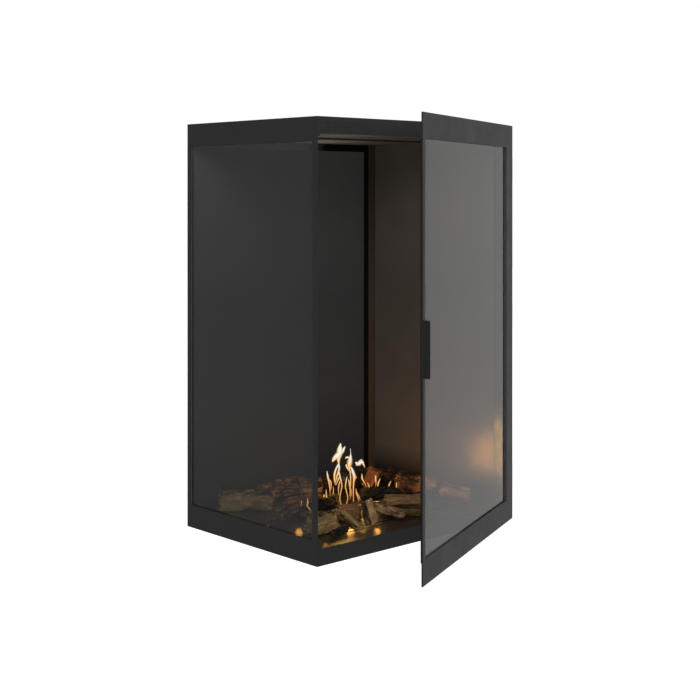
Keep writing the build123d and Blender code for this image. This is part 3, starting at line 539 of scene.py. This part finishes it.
def buildLog(corners, kind, turn, lean, splitArc, seed, slim, worn):  # points, faces, values for the material
    spin = turned(turn, lean)
    local = corners @ spin
    low, high = local.min(0), local.max(0)
    length, width, height = high - low
    sides, rings = logDetail["around"], logDetail["capRings"]
    stations = max(int(length / (logDetail["step"] * mm)), 16)
    body = np.linspace(-1, 1, stations + 1)
    cap = np.arange(1, rings) / rings
    shrinks = np.concatenate([cap, np.ones(stations + 1), cap[::-1]])
    places = np.concatenate([-np.ones(rings - 1), body, np.ones(rings - 1)])
    angles = np.linspace(0, 2 * math.pi, sides, endpoint=False)
    s, shrink = places[:, None], shrinks[:, None]
    angle = np.broadcast_to(angles, (len(places), sides))
    reach = sectionReach(kind, width, height, angles)
    x = s * length / 2 + 0 * angle
    flat = np.stack([x, reach * np.cos(angle), reach * np.sin(angle)], axis=-1)
    inner = flat.copy()
    inner[..., 1:] *= shrink[..., None]
    shift = np.array([3.17, 1.71, 0.83]) * seed  # each log has its own part of the noise
    flat = flat + shift
    fade, steps = logDetail["splitFade"], logDetail["terraceSteps"]
    degrees = np.degrees(angle) + logDetail["splitWander"] * softNoise(flat * logNoise["splitEdge"], 3)
    bark = np.ones_like(x)
    if splitArc:
        start, end = splitArc
        bark -= smoothStep(start - fade, start + fade, degrees) * smoothStep(end + fade, end - fade, degrees)
    crack = 1 - smoothStep(*logDetail["crackEdges"], cellEdges(flat * logNoise["cracks"], 11))
    plates = roughNoise(flat * logNoise["plates"], 5)
    fibres = roughNoise(flat * logNoise["fibres"], 17, 2)
    terraces = np.round(steps * softNoise(flat * logNoise["terraces"], 23)) / steps
    lumps = roughNoise(flat * logNoise["lumps"], 29, 3)
    relief = bark * (logDetail["plateDepth"] * plates - logDetail["crackDepth"] * crack)
    relief += (1 - bark) * (logDetail["fibreDepth"] * fibres + logDetail["terraceDepth"] * terraces)
    relief *= worn
    swell = 1 + logDetail["lumpShare"] * lumps - logDetail["taperShare"] * np.abs(s) ** 5
    radius = (reach * swell + relief * mm) * shrink
    torn = roughNoise(inner * logNoise["torn"] + shift + s[..., None], 31, 3)
    torn = logDetail["raggedShare"] * (logDetail["tornMean"] + logDetail["tornSpread"] * torn)
    x = x * (1 - torn * np.abs(s) ** 8 * (0.35 + 0.65 * shrink))
    bow = logDetail["bowShare"] * (1 - s ** 2)
    y = radius * np.cos(angle) + bow * width * math.sin(seed * 2.4)
    z = radius * np.sin(angle) + 0.6 * bow * height * math.sin(seed * 1.3)
    grid = np.stack([x, y, z], axis=-1)
    outer = bark * (shrink > 0.99)
    poles = np.stack([grid[0].mean(0), grid[-1].mean(0)])
    points = np.concatenate([grid.reshape(-1, 3), poles])
    grain = points + shift
    onBark = np.append(outer.ravel(), [0, 0])
    crevice = np.append((crack * outer * worn ** 2).ravel(), [0, 0])
    row = np.arange(len(places) - 1)[:, None] * sides
    first, second = row + np.arange(sides), row + np.roll(np.arange(sides), -1)
    faces = np.stack([first, first + sides, second + sides, second], axis=-1).reshape(-1, 4).tolist()
    lastRow, start, end = (len(places) - 1) * sides, len(points) - 2, len(points) - 1
    for step in range(sides):
        after = (step + 1) % sides
        faces.append((start, step, after))
        faces.append((end, lastRow + after, lastRow + step))
    madeLow, madeHigh = points.min(0), points.max(0)
    starts, ends = np.array([0.0, slim[0][0], slim[1][0]]), np.array([1.0, slim[0][1], slim[1][1]])
    share = starts + (points - madeLow) / (madeHigh - madeLow) * (ends - starts)
    fitted = low + share * (high - low)  # as large as the solid, or slimmer inside it
    return fitted @ spin.T, faces, grain, onBark, crevice


def sootShare(points):  # logs nearest the burner's slot are blackened
    low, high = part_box("burner_top")
    ends = logDetail["sootEnds"] * mm
    beyond = np.maximum(np.maximum(low.x + ends - points[:, 0], points[:, 0] - high.x + ends), 0)
    away = np.hypot(beyond, points[:, 1] - flameY)
    return 1 - smoothStep(*logDetail["sootFade"], away / (logDetail["sootReach"] * mm))


def makeLogNode(nodeName, rows, seed):
    parts = []
    for index, (corners, row) in enumerate(zip(islands(nodeName), rows)):
        slim = logSlim.get((nodeName, index), ((0, 1), (0, 1)))
        worn = logRelief.get((nodeName, index), 1.0)
        parts.append(buildLog(corners, *row[:3], row[4], seed + index * 0.37, slim, worn))
    points, grain, onBark, crevice = (
        np.concatenate([part[place] for part in parts]) for place in (0, 2, 3, 4))
    faces, looks, base = [], [], 0
    for index, part in enumerate(parts):
        faces += [tuple(corner + base for corner in face) for face in part[1]]
        looks += [index] * len(part[1])
        base += len(part[0])
    mesh = carrying(nodeName + "Cast", points, faces, grain=grain, bark=onBark, crevice=crevice,
                    char=sootShare(points))
    attach(linked(nodeName + "_cast", mesh), [nodeName], rows[0][3])
    for row in rows[1:]:
        mesh.materials.append(materials[row[3]])
    mesh.polygons.foreach_set("material_index", looks)


burnerSlot = {"front": 262 * mm, "depth": 26 * mm, "casingDepth": 491 * mm}
flameY = burnerSlot["front"] + burnerSlot["depth"] / 2 - burnerSlot["casingDepth"] / 2
for seed, (nodeName, rows) in enumerate(logPieces.items(), start=1):
    makeLogNode(nodeName, rows, seed)
print("logs cast:", len(logPieces), "nodes")


# Geometry Nodes: screws and wool fibres

def shapeTree(name, sizes):  # a tree with a mesh and named sizes going in
    tree = bpy.data.node_groups.new(name, "GeometryNodeTree")
    tree.interface.new_socket("Geometry", in_out="INPUT", socket_type="NodeSocketGeometry")
    for label, value in sizes.items():
        kind = "NodeSocketInt" if isinstance(value, int) else "NodeSocketFloat"
        tree.interface.new_socket(label, in_out="INPUT", socket_type=kind).default_value = value
    tree.interface.new_socket("Geometry", in_out="OUTPUT", socket_type="NodeSocketGeometry")
    node = functools.partial(add, tree)
    return tree, node, node("NodeGroupInput", out=None)


def closeTree(node, geometry, material):
    whole = node("GeometryNodeRealizeInstances", {"Geometry": geometry})
    dressed = node("GeometryNodeSetMaterial", {"Geometry": whole, "Material": material})
    node("NodeGroupOutput", {"Geometry": dressed}, None)


def grown(name, mesh, tree, sizes):  # the tree's result as a plain mesh
    source = linked(name + "Source", mesh)
    modifier = source.modifiers.new("shape", "NODES")
    modifier.node_group = tree
    for item in tree.interface.items_tree:
        if item.in_out == "INPUT" and item.name in sizes:
            modifier[item.identifier] = sizes[item.name]
    result = bpy.data.meshes.new_from_object(source.evaluated_get(bpy.context.evaluated_depsgraph_get()))
    source.modifiers.clear()
    bpy.data.objects.remove(source)
    result.name = name
    return linked(name, result)


def screwTree():  # pan heads with a cross recess, one on each point, turned along the point's "axis"
    tree, node, given = shapeTree("panHeadScrews", {
        "Head Radius": 3.0 * mm, "Head Height": 1.8 * mm, "Dome": 0.7 * mm, "Recess Width": 0.9 * mm})
    points, radius, height, dome, recess = list(given)[:5]
    head = node("GeometryNodeMeshCylinder", {
        "Vertices": 24, "Fill Segments": 5, "Radius": radius, "Depth": height}, fill_type="TRIANGLE_FAN")
    x, y, z = node("SeparateXYZ", {0: node("GeometryNodeInputPosition")}, None)
    away = node("VectorMath", {0: node("CombineXYZ", {0: x, 1: y})}, "Value", operation="LENGTH")
    away = node("Math", {0: away, 1: radius}, operation="DIVIDE")
    fall = node("Math", {0: away, 1: 2.4}, operation="POWER")
    lift = node("Math", {0: 1.0, 1: fall}, operation="SUBTRACT")
    onTop = node("Math", {0: z, 1: 0.0}, operation="GREATER_THAN")
    for factor in (dome, onTop):
        lift = node("Math", {0: lift, 1: factor}, operation="MULTIPLY")
    domed = node("GeometryNodeSetPosition", {"Geometry": head, "Offset": node("CombineXYZ", {2: lift})})
    reach, half, deep = (node("Math", {0: size, 1: share}, operation="MULTIPLY")
                         for size, share in ((radius, 1.15), (height, 0.5), (dome, 2.6)))
    top = node("CombineXYZ", {2: node("Math", {0: half, 1: dome}, operation="ADD")})
    cross = []
    for length, width in ((reach, recess), (recess, reach)):
        bar = node("GeometryNodeMeshCube", {"Size": node("CombineXYZ", {0: length, 1: width, 2: deep})})
        cross.append(node("GeometryNodeTransform", {"Geometry": bar, "Translation": top}))
    cut = node("GeometryNodeMeshBoolean", {"Mesh 1": domed, "Mesh 2": cross}, operation="DIFFERENCE")
    axis = node("GeometryNodeInputNamedAttribute", {"Name": "axis"}, "Attribute", data_type="FLOAT_VECTOR")
    turn = node("FunctionNodeAlignRotationToVector", {"Vector": axis}, axis="Z")
    heads = node("GeometryNodeInstanceOnPoints", {"Points": points, "Instance": cut, "Rotation": turn})
    closeTree(node, heads, materials["blackenedScrewSteel"])
    return tree


def screwPoints(nodeName, axis, headHeight):  # the middle of each head, and the way that it faces
    places, ways = [], []
    axis = np.array(axis)
    for points in islands(nodeName):
        middle = (points.min(0) + points.max(0)) / 2
        along = (points - middle) @ axis
        offAxis = np.linalg.norm(points - middle - along[:, None] * axis, axis=1)
        headSide = 1 if along[offAxis > 0.9 * offAxis.max()].mean() >= -1e-6 else -1
        end = (along * headSide).max()
        places.append(middle + axis * headSide * (end - headHeight / 2))
        ways.append(axis * headSide)
    return carrying(nodeName + "Points", places, [], axis=ways)


doorTurn = math.radians(23.8)
screwSets = {  # node: the screws' axis, then head radius and height in mm
    "rim_screws": ((0, 1, 0), 3.2, 1.5),
    "handle_screws": ((-math.sin(doorTurn), math.cos(doorTurn), 0), 3.0, 1.8),
}
panHeads = screwTree()
for nodeName, (axis, radius, height) in screwSets.items():
    piece = grown(nodeName + "_heads", screwPoints(nodeName, axis, height * mm), panHeads,
                  {"Head Radius": radius * mm, "Head Height": height * mm})
    attach(piece, [nodeName], "blackenedScrewSteel")


def woolTree():  # a matted block with loose fibres on its top
    tree, node, given = shapeTree("woolFibres", {
        "Fibre Length": 11.0 * mm, "Fibre Thickness": 0.22 * mm, "Fibre Density": 70000.0, "Matting": 1.2 * mm,
        "Seed": 7})
    block, length, thickness, density, matting, seed = list(given)[:6]
    rough = node("TexNoise", {"Scale": 1 / (6 * mm), "Detail": 3.0})
    dent = node("Math", {0: rough, 1: matting}, operation="MULTIPLY")
    dent = node("Math", {0: dent, 1: -1.0}, operation="MULTIPLY")
    inward = node("VectorMath", {0: node("GeometryNodeInputNormal"), "Scale": dent}, operation="SCALE")
    block = node("GeometryNodeSetPosition", {"Geometry": block, "Offset": inward})
    facing = node("SeparateXYZ", {0: node("GeometryNodeInputNormal")}, "Z")
    upper = node("Math", {0: facing, 1: 0.8}, operation="GREATER_THAN")
    points = node("GeometryNodeDistributePointsOnFaces", {
        "Mesh": block, "Selection": upper, "Density": density, "Seed": seed})
    ends = []
    for share, up in ((-0.5, -0.02), (-0.15, 0.16), (0.2, 0.14), (0.5, -0.03)):
        across, above = (node("Math", {0: length, 1: part}, operation="MULTIPLY") for part in (share, up))
        ends.append(node("CombineXYZ", {0: across, 2: above}))
    bend = node("GeometryNodeCurvePrimitiveBezierSegment", {
        "Resolution": 5, "Start": ends[0], "Start Handle": ends[1], "End Handle": ends[2], "End": ends[3]})
    ring = node("GeometryNodeCurvePrimitiveCircle", {"Resolution": 3, "Radius": thickness})
    fibre = node("GeometryNodeCurveToMesh", {"Curve": bend, "Profile Curve": ring, "Fill Caps": True})
    spin = node("FunctionNodeRandomValue", {
        "Min": (-0.12, -0.12, -0.9), "Max": (0.12, 0.12, 0.9), "Seed": seed}, "Value", data_type="FLOAT_VECTOR")
    fibres = node("GeometryNodeInstanceOnPoints", {"Points": points, "Instance": fibre, "Rotation": spin})
    closeTree(node, node("GeometryNodeJoinGeometry", {"Geometry": [block, fibres]}), materials["ceramicWool"])
    return tree


def gridBlock(low, high, stepMm):  # a closed box of even small faces
    shape = bmesh.new()
    bmesh.ops.create_cube(shape, size=1.0)
    for axis in range(3):
        cuts = max(int((high[axis] - low[axis]) / (stepMm * mm)) - 1, 1)
        edges = [edge for edge in shape.edges
                 if abs((edge.verts[0].co - edge.verts[1].co)[axis]) > 0.5 / 1.01]
        bmesh.ops.subdivide_edges(shape, edges=edges, cuts=cuts, use_grid_fill=True)
    for vert in shape.verts:
        vert.co = Vector([low[axis] + (vert.co[axis] + 0.5) * (high[axis] - low[axis]) for axis in range(3)])
    return meshFrom(shape, "woolBlock")


fibreBlock = gridBlock(*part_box("burner_wool"), 3.0)
attach(grown("burner_wool_fibres", fibreBlock, woolTree(), {}), ["burner_wool"], "ceramicWool")
print("screws and wool grown")


# Flames: tapering strands along smooth spines. Points are (across, height above the deck, width) in mm.

flameStrands = {
    "tallFlame": [
        [(-9, 158, 1), (-11, 152, 6), (-12, 145, 11), (-13, 138, 13), (-15, 128, 13), (-17, 118, 9),
         (-16, 108, 5), (-16, 103, 4)],
        [(-38, 114, 2), (-34, 119, 8), (-28, 124, 10), (-20, 129, 11), (-14, 133, 6)],
        [(6, 148, 1), (2, 143, 5), (-4, 136, 8), (-11, 130, 8)],
        [(-16, 106, 4), (-24, 97, 4), (-30, 83, 6), (-30, 68, 6), (-27, 54, 2)],
        [(-16, 106, 4), (-15, 92, 5), (-22, 76, 6), (-27, 62, 3)],
        [(-15, 90, 3), (-9, 70, 4), (-5, 54, 4), (-9, 39, 4), (-12, 24, 4), (-8, 8, 4), (0, 1, 4)],
        [(0, 1, 4), (10, 6, 4), (15, 20, 4), (11, 36, 4), (7, 49, 4), (9, 62, 4), (13, 75, 1)],
        [(-12, 62, 2), (-16, 50, 4), (-17, 36, 3), (-14, 22, 1)],
        [(-25, 54, 2), (-21, 62, 4), (-14, 72, 4)],
        [(-35, 52, 1), (-34, 39, 3), (-38, 25, 3), (-37, 14, 1)],
    ],
    "secondFlame": [
        [(24, 140, 1), (25, 126, 2), (24, 116, 8), (21, 104, 13), (20, 94, 9), (22, 84, 3)],
        [(6, 116, 1), (12, 119, 4), (20, 116, 5)],
        [(9, 101, 3), (13, 92, 4), (20, 84, 4), (26, 76, 3)],
        [(26, 97, 3), (32, 86, 7), (37, 72, 9), (35, 56, 6), (34, 32, 5), (35, 8, 4)],
        [(23, 84, 2), (25, 60, 4), (24, 38, 3), (24, 16, 2)],
        [(16, 63, 1), (20, 50, 3), (23, 34, 4), (22, 20, 2)],
        [(19, 60, 1), (24, 43, 3), (27, 25, 3), (23, 12, 2)],
        [(39, 70, 2), (43, 63, 5), (37, 57, 2)],
    ],
    "leftFlames": [
        [(-56, 94, 1), (-53, 79, 5), (-49, 64, 5), (-46, 48, 4), (-45, 30, 1)],
        [(-49, 72, 2), (-42, 61, 4), (-43, 44, 2)],
        [(-58, 53, 1), (-57, 38, 5), (-55, 21, 4), (-54, 2, 3)],
        [(-49, 26, 2), (-49, 16, 4), (-54, 1, 3)],
        [(-66, 37, 2), (-65, 29, 7), (-64, 21, 2)],
        [(-65, 15, 2), (-62, 6, 6), (-68, 1, 5), (-79, 0, 3), (-86, 3, 2)],
        [(-88, 29, 1), (-87, 17, 4), (-86, 8, 3), (-85, 1, 2)],
        [(-117, 40, 2), (-116, 30, 6), (-118, 23, 5), (-111, 14, 4), (-104, 3, 2)],
        [(-138, 34, 1), (-138, 26, 3), (-139, 17, 1)],
    ],
    "rightFlames": [
        [(43, 40, 1), (45, 28, 5), (50, 17, 5), (53, 6, 2)],
        [(47, 30, 1), (54, 18, 3), (58, 8, 2)],
        [(64, 70, 1), (65, 58, 6), (70, 50, 4), (77, 40, 2), (79, 30, 1)],
        [(69, 33, 2), (75, 29, 4), (79, 25, 3), (77, 18, 1)],
        [(83, 45, 1), (90, 33, 5), (86, 25, 3), (88, 13, 2)],
        [(81, 14, 2), (81, 2, 2)],
        [(95, 25, 2), (97, 10, 3)],
        [(106, 30, 1), (104, 9, 2)],
        [(113, 58, 3), (113, 49, 6), (114, 38, 3), (112, 26, 1)],
        [(129, 48, 2), (122, 37, 6), (120, 22, 2)],
        [(127, 22, 2), (133, 14, 4), (141, 16, 2)],
        [(123, 14, 1), (138, 7, 3), (156, 5, 3), (165, 13, 2)],
        [(167, 40, 2), (160, 29, 6), (165, 19, 4), (160, 5, 3)],
        [(188, 34, 2), (187, 18, 4), (187, 11, 2)],
    ],
    "floatingFlame": [
        [(42, 103, 2), (47, 99, 8), (53, 98, 10), (60, 101, 10), (66, 99, 7), (71, 91, 4), (75, 84, 1)],
        [(44, 93, 1), (48, 97, 5), (53, 99, 6)],
        [(61, 108, 1), (63, 103, 6), (66, 97, 4)],
    ],
}
flameForm = {  # sizes in mm; faceTurn turns the tongues' broad sides as in the photograph
    "sides": 16, "stepsPerPoint": 7, "depthShare": 0.5, "tall": 160.0, "widthShare": (1.05, 1.45), "sway": 4,
    "faceTurn": 42.5, "slotFront": 22, "lowFoot": 12, "widening": (50, 100), "ownRise": 0.5, "sharedRise": 0.9,
}


def smoothSpine(points, steps):  # a smooth line through the points
    padded = [points[0]] + points + [points[-1]]
    line = []
    for before, start, end, after in zip(padded, padded[1:], padded[2:], padded[3:]):
        for step in range(steps):
            t = step / steps
            line.append(tuple(
                0.5 * (2 * b + (c - a) * t + (2 * a - 5 * b + 4 * c - d) * t ** 2
                       + (3 * b - a - 3 * c + d) * t ** 3) for a, b, c, d in zip(before, start, end, after)))
    return line + [points[-1]]


def flameMesh(name, strands, seed):
    verts, faces, core, rise = [], [], [], []
    draw = random.Random(seed)
    turn = math.radians(flameForm["faceTurn"])
    broad, deepWay = Vector((math.cos(turn), -math.sin(turn), 0)), Vector((math.sin(turn), math.cos(turn), 0))
    upWay = Vector((0, 0, 1))
    for strand in strands:
        line = smoothSpine(strand, flameForm["stepsPerPoint"])
        sway = draw.uniform(-1, 1) * flameForm["sway"]
        foot, tip = min(z for _, z, _ in line), max(z for _, z, _ in line)
        near = flameForm["slotFront"] if foot < flameForm["lowFoot"] else 0  # low tongues stand before the logs
        start = len(verts)
        sides = flameForm["sides"]
        for index, (x, z, width) in enumerate(line):
            ahead, behind = line[min(index + 1, len(line) - 1)], line[max(index - 1, 0)]
            dx, dz = (ahead[0] - behind[0]) * broad.x, ahead[1] - behind[1]
            size = math.hypot(dx, dz) or 1
            along = index / (len(line) - 1)
            width = max(width, 0.8) * float(np.interp(z, flameForm["widening"], flameForm["widthShare"]))
            middle = Vector((x, flameY / mm, z)) + deepWay * (sway * math.sin(math.pi * along) - near)
            for side in range(sides):
                angle = 2 * math.pi * side / sides
                across = 0.5 * width * math.cos(angle)
                point = middle + (broad * dz - upWay * dx) * (across / size)
                point += deepWay * (0.5 * width * flameForm["depthShare"] * math.sin(angle))
                verts.append((point.x * mm, point.y * mm, deckTop + point.z * mm))
                core.append(1 - abs(math.cos(angle)))
                rise.append(flameForm["ownRise"] * (z - foot) / (tip - foot)
                            + flameForm["sharedRise"] * z / flameForm["tall"])
        for index in range(len(line) - 1):
            for side in range(sides):
                a, b = start + index * sides + side, start + index * sides + (side + 1) % sides
                faces.append((a, b, b + sides, a + sides))
        faces.append(tuple(start + side for side in reversed(range(sides))))
        faces.append(tuple(start + (len(line) - 1) * sides + side for side in range(sides)))
    shape = bmesh.new()
    shape.from_mesh(carrying(name, verts, faces, core=core, rise=rise))
    bmesh.ops.recalc_face_normals(shape, faces=shape.faces)
    return meshFrom(shape, name + "Shape")


for seed, (name, strands) in enumerate(flameStrands.items()):
    flame = linked(name, flameMesh(name, strands, seed))
    flame.data.materials.append(materials["flameGlow"])
    flame.visible_diffuse = False  # lamps in the chamber give the fire's light
    flame.visible_shadow = False
    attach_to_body(flame, "casing")
print("flames lit")


# Camera at the photograph's place, level, with its horizon high in the picture

cameraPlace = {  # mm, degrees and the picture's pixels
    "at": (-2255.771, -2455.91, 828.243), "turn": 42.512, "focalPixels": 1323.375, "horizonPixel": 193.331,
    "imagePixels": 700,
}
cameraTurn = math.radians(cameraPlace["turn"])
camera = bpy.data.cameras.new("camera")
cameraObject = linked("camera", camera)
cameraObject.location = [value * mm for value in cameraPlace["at"]]
cameraObject.rotation_euler = (math.pi / 2, 0, -cameraTurn)
camera.sensor_width = 36
camera.lens = cameraPlace["focalPixels"] / cameraPlace["imagePixels"] * camera.sensor_width
camera.shift_y = -(cameraPlace["imagePixels"] / 2 - cameraPlace["horizonPixel"]) / cameraPlace["imagePixels"]
bpy.context.scene.camera = cameraObject


# Studio: white as a backdrop, and greyer where the glass and the paint mirror it. Through glass it shows as the
# dark even veil that the photograph has there.

studio = {  # mirrored: where it is, from behind the camera to behind the object, and grey level
    "mirrored": [(0.0, 0.20), (0.45, 0.16), (0.55, 0.24), (0.58, 0.24), (0.61, 0.21), (0.70, 0.30),
                 (0.82, 0.53), (0.90, 0.50), (1.0, 0.42)],
    "veil": 0.05, "floorReach": 9.0, "floorDrop": 0.2 * mm,
}
world = bpy.data.worlds.new("studio")
bpy.context.scene.world = world
world.use_nodes = True
world.node_tree.nodes.clear()
sky = functools.partial(add, world.node_tree)
heading = sky("VectorMath", {0: sky("TexCoord", out="Generated"), 1: (1, 1, 0)}, operation="MULTIPLY")
heading = sky("VectorMath", {0: heading}, operation="NORMALIZE")
towards = sky("VectorMath", {0: heading, 1: (math.sin(cameraTurn), math.cos(cameraTurn), 0)}, "Value",
              operation="DOT_PRODUCT")
share = sky("MapRange", {"Value": towards, "From Min": -1.0, "From Max": 1.0})
mirrored = sky("ValToRGB", {0: share}, stops=studio["mirrored"])
behindGlass = sky("LightPath", out="Is Transmission Ray")
direct = sky("Mix", {0: behindGlass, 6: "#ffffff", 7: (studio["veil"],) * 3 + (1,)}, **blend)
tone = sky("Mix", {0: seenStraight(sky)[0], 6: mirrored, 7: direct}, **blend)
sky("OutputWorld", {"Surface": sky("Background", {"Color": tone, "Strength": 1.0})}, None)


def paleFloor(node, place):  # matt, with a glow that makes it as white as the backdrop, but for the shadow
    away = node("VectorMath", {0: place}, "Value", operation="LENGTH")
    glowing = node("MapRange", {
        "Value": away, "From Min": 0.9, "From Max": 2.5, "To Min": 0.94, "To Max": 1.0})
    matt = node("BsdfDiffuse", {"Color": (0.3, 0.3, 0.3, 1)})
    lit = node("AddShader", {0: matt, 1: node("Emission", {"Color": "#ffffff", "Strength": glowing})})
    rays = node("LightPath", out=None)
    surface = node("MixShader", {0: rays["Is Camera Ray"], 1: matt, 2: lit})
    veil = node("Emission", {"Color": "#ffffff", "Strength": studio["veil"]})
    surface = node("MixShader", {0: rays["Is Transmission Ray"], 1: surface, 2: veil})
    clear = node("BsdfTransparent")  # mirrors show the studio below the floor's line too
    return node("MixShader", {0: seenStraight(node)[1], 1: clear, 2: surface})


reach = studio["floorReach"]
corners = [(-reach, -reach, 0), (reach, -reach, 0), (reach, reach, 0), (-reach, reach, 0)]
floor = linked("floor", carrying("floor", corners, [(0, 1, 2, 3)]))
floor.location.z = -studio["floorDrop"]
floor.data.materials.append(newMaterial("paleFloor", paleFloor))
floor.visible_glossy = False


def receivers(words):  # pieces for a lamp to light: the photograph shows no glow on the chamber's walls
    group = bpy.data.collections.new("lit " + words[-1])
    for piece in bpy.context.scene.objects:
        if piece.type == "MESH" and any(word in piece.name for word in words):
            group.objects.link(piece)
    return group


def addLamp(name, place, power, tone, size, lit=None, mirrored=False, aim=None, blocked=None):
    light = bpy.data.lights.new(name, "AREA" if aim else "POINT")  # a softbox where it has an aim
    light.energy = power
    light.color = hexColour(tone)[:3]
    setattr(light, "size" if aim else "shadow_soft_size", size)
    lamp = linked(name, light)
    lamp.location = place
    if aim:
        lamp.rotation_euler = (Vector(aim) - Vector(place)).to_track_quat("-Z", "Y").to_euler()
    lamp.visible_camera = False
    lamp.visible_glossy = mirrored
    lamp.visible_transmission = False
    if lit:
        lamp.light_linking.receiver_collection = lit
    if blocked:
        lamp.light_linking.blocker_collection = blocked


softboxes = {  # place and aim in m, power in W, size in m
    "frontLeftSoftbox": ((-2.6, -3.4, 2.6), (0, 0, 0.5), 130, 2.4),
    "rightSoftbox": ((2.8, -2.6, 2.2), (0, 0, 0.5), 60, 2.0),
    "topSoftbox": ((0.0, 0.0, 4.0), (0, 0, 0), 60, 3.0),
    "lowSoftbox": ((-1.6, -2.0, 0.25), (0, 0, 0.96), 14, 0.8),
}
logFills = {
    "leftLogFill": ((-1.3, -0.9, 1.0), (-0.1, 0.0, 0.06), 27, 0.6),
    "frontLogFill": ((-1.1, -1.7, 0.9), (-0.05, -0.1, 0.06), 10, 0.5),
}
fireLamps = [  # across and above the deck in mm, power in W
    (-110, 30, 0.08), (-50, 45, 0.12), (-10, 80, 0.14), (35, 60, 0.14), (80, 40, 0.12), (125, 40, 0.15),
    (170, 40, 0.22),
]
emberLamps = [  # the fire's images in the deck: across, deep, above the deck and radius in mm, power in W
    (-137, -145, 14, 10, 0.06), (-94, -191, 11, 9, 0.018), (-267, -204, 10, 5, 0.0015),
    (-222, -61, 15, 8, 0.022),
]
hearthLoad, ceilingOnly, deckOnly, postOnly, linerOnly = map(receivers, (
    ["_cast", "hearth_deck", "burner_top", "burner_lid", "burner_wool"], ["ceiling_plate", "ceiling_deflector"],
    ["hearth_deck"], ["hinge_post"], ["right_liner"]))
gleams = {  # the fire's glow on the post, the liner and the ceiling: place in m, power in W, tone, radius in m
    **{f"postGleam{index}": ((0.262, -0.232, height), 0.65, "#ffbe60", 0.01, postOnly)
       for index, height in enumerate((0.13, 0.165, 0.20, 0.235))},
    "linerGleam": ((0.15, -0.08, 0.128), 1.2, "#ffb868", 0.055, linerOnly, True),
    "ceilingLamp0": ((-0.20, -0.16, 0.86), 0.4, "#fff0e4", 0.06, ceilingOnly),
    "ceilingLamp1": ((0.0, 0.13, 0.86), 0.7, "#fff0e4", 0.06, ceilingOnly),
}
for name, (place, aim, power, size) in softboxes.items():
    addLamp(name, place, power, "#ffffff", size, aim=aim)
for index, (across, above, power) in enumerate(fireLamps):
    place = (across * mm, flameY, deckTop + above * mm)
    addLamp(f"fireLamp{index}", place, power, "#ffb066", 0.012, hearthLoad)
for index, (across, deep, above, radius, power) in enumerate(emberLamps):
    place = (across * mm, deep * mm, deckTop + above * mm)
    addLamp(f"emberLamp{index}", place, power, "#ffb258", radius * mm, deckOnly, True, blocked=deckOnly)
for name, (place, aim, power, size) in logFills.items():
    addLamp(name, place, power, "#fff0e0", size, hearthLoad, aim=aim)
for name, row in gleams.items():
    addLamp(name, *row)
print("camera, studio and fire light set")

bpy.context.scene.view_settings.view_transform = "Standard"
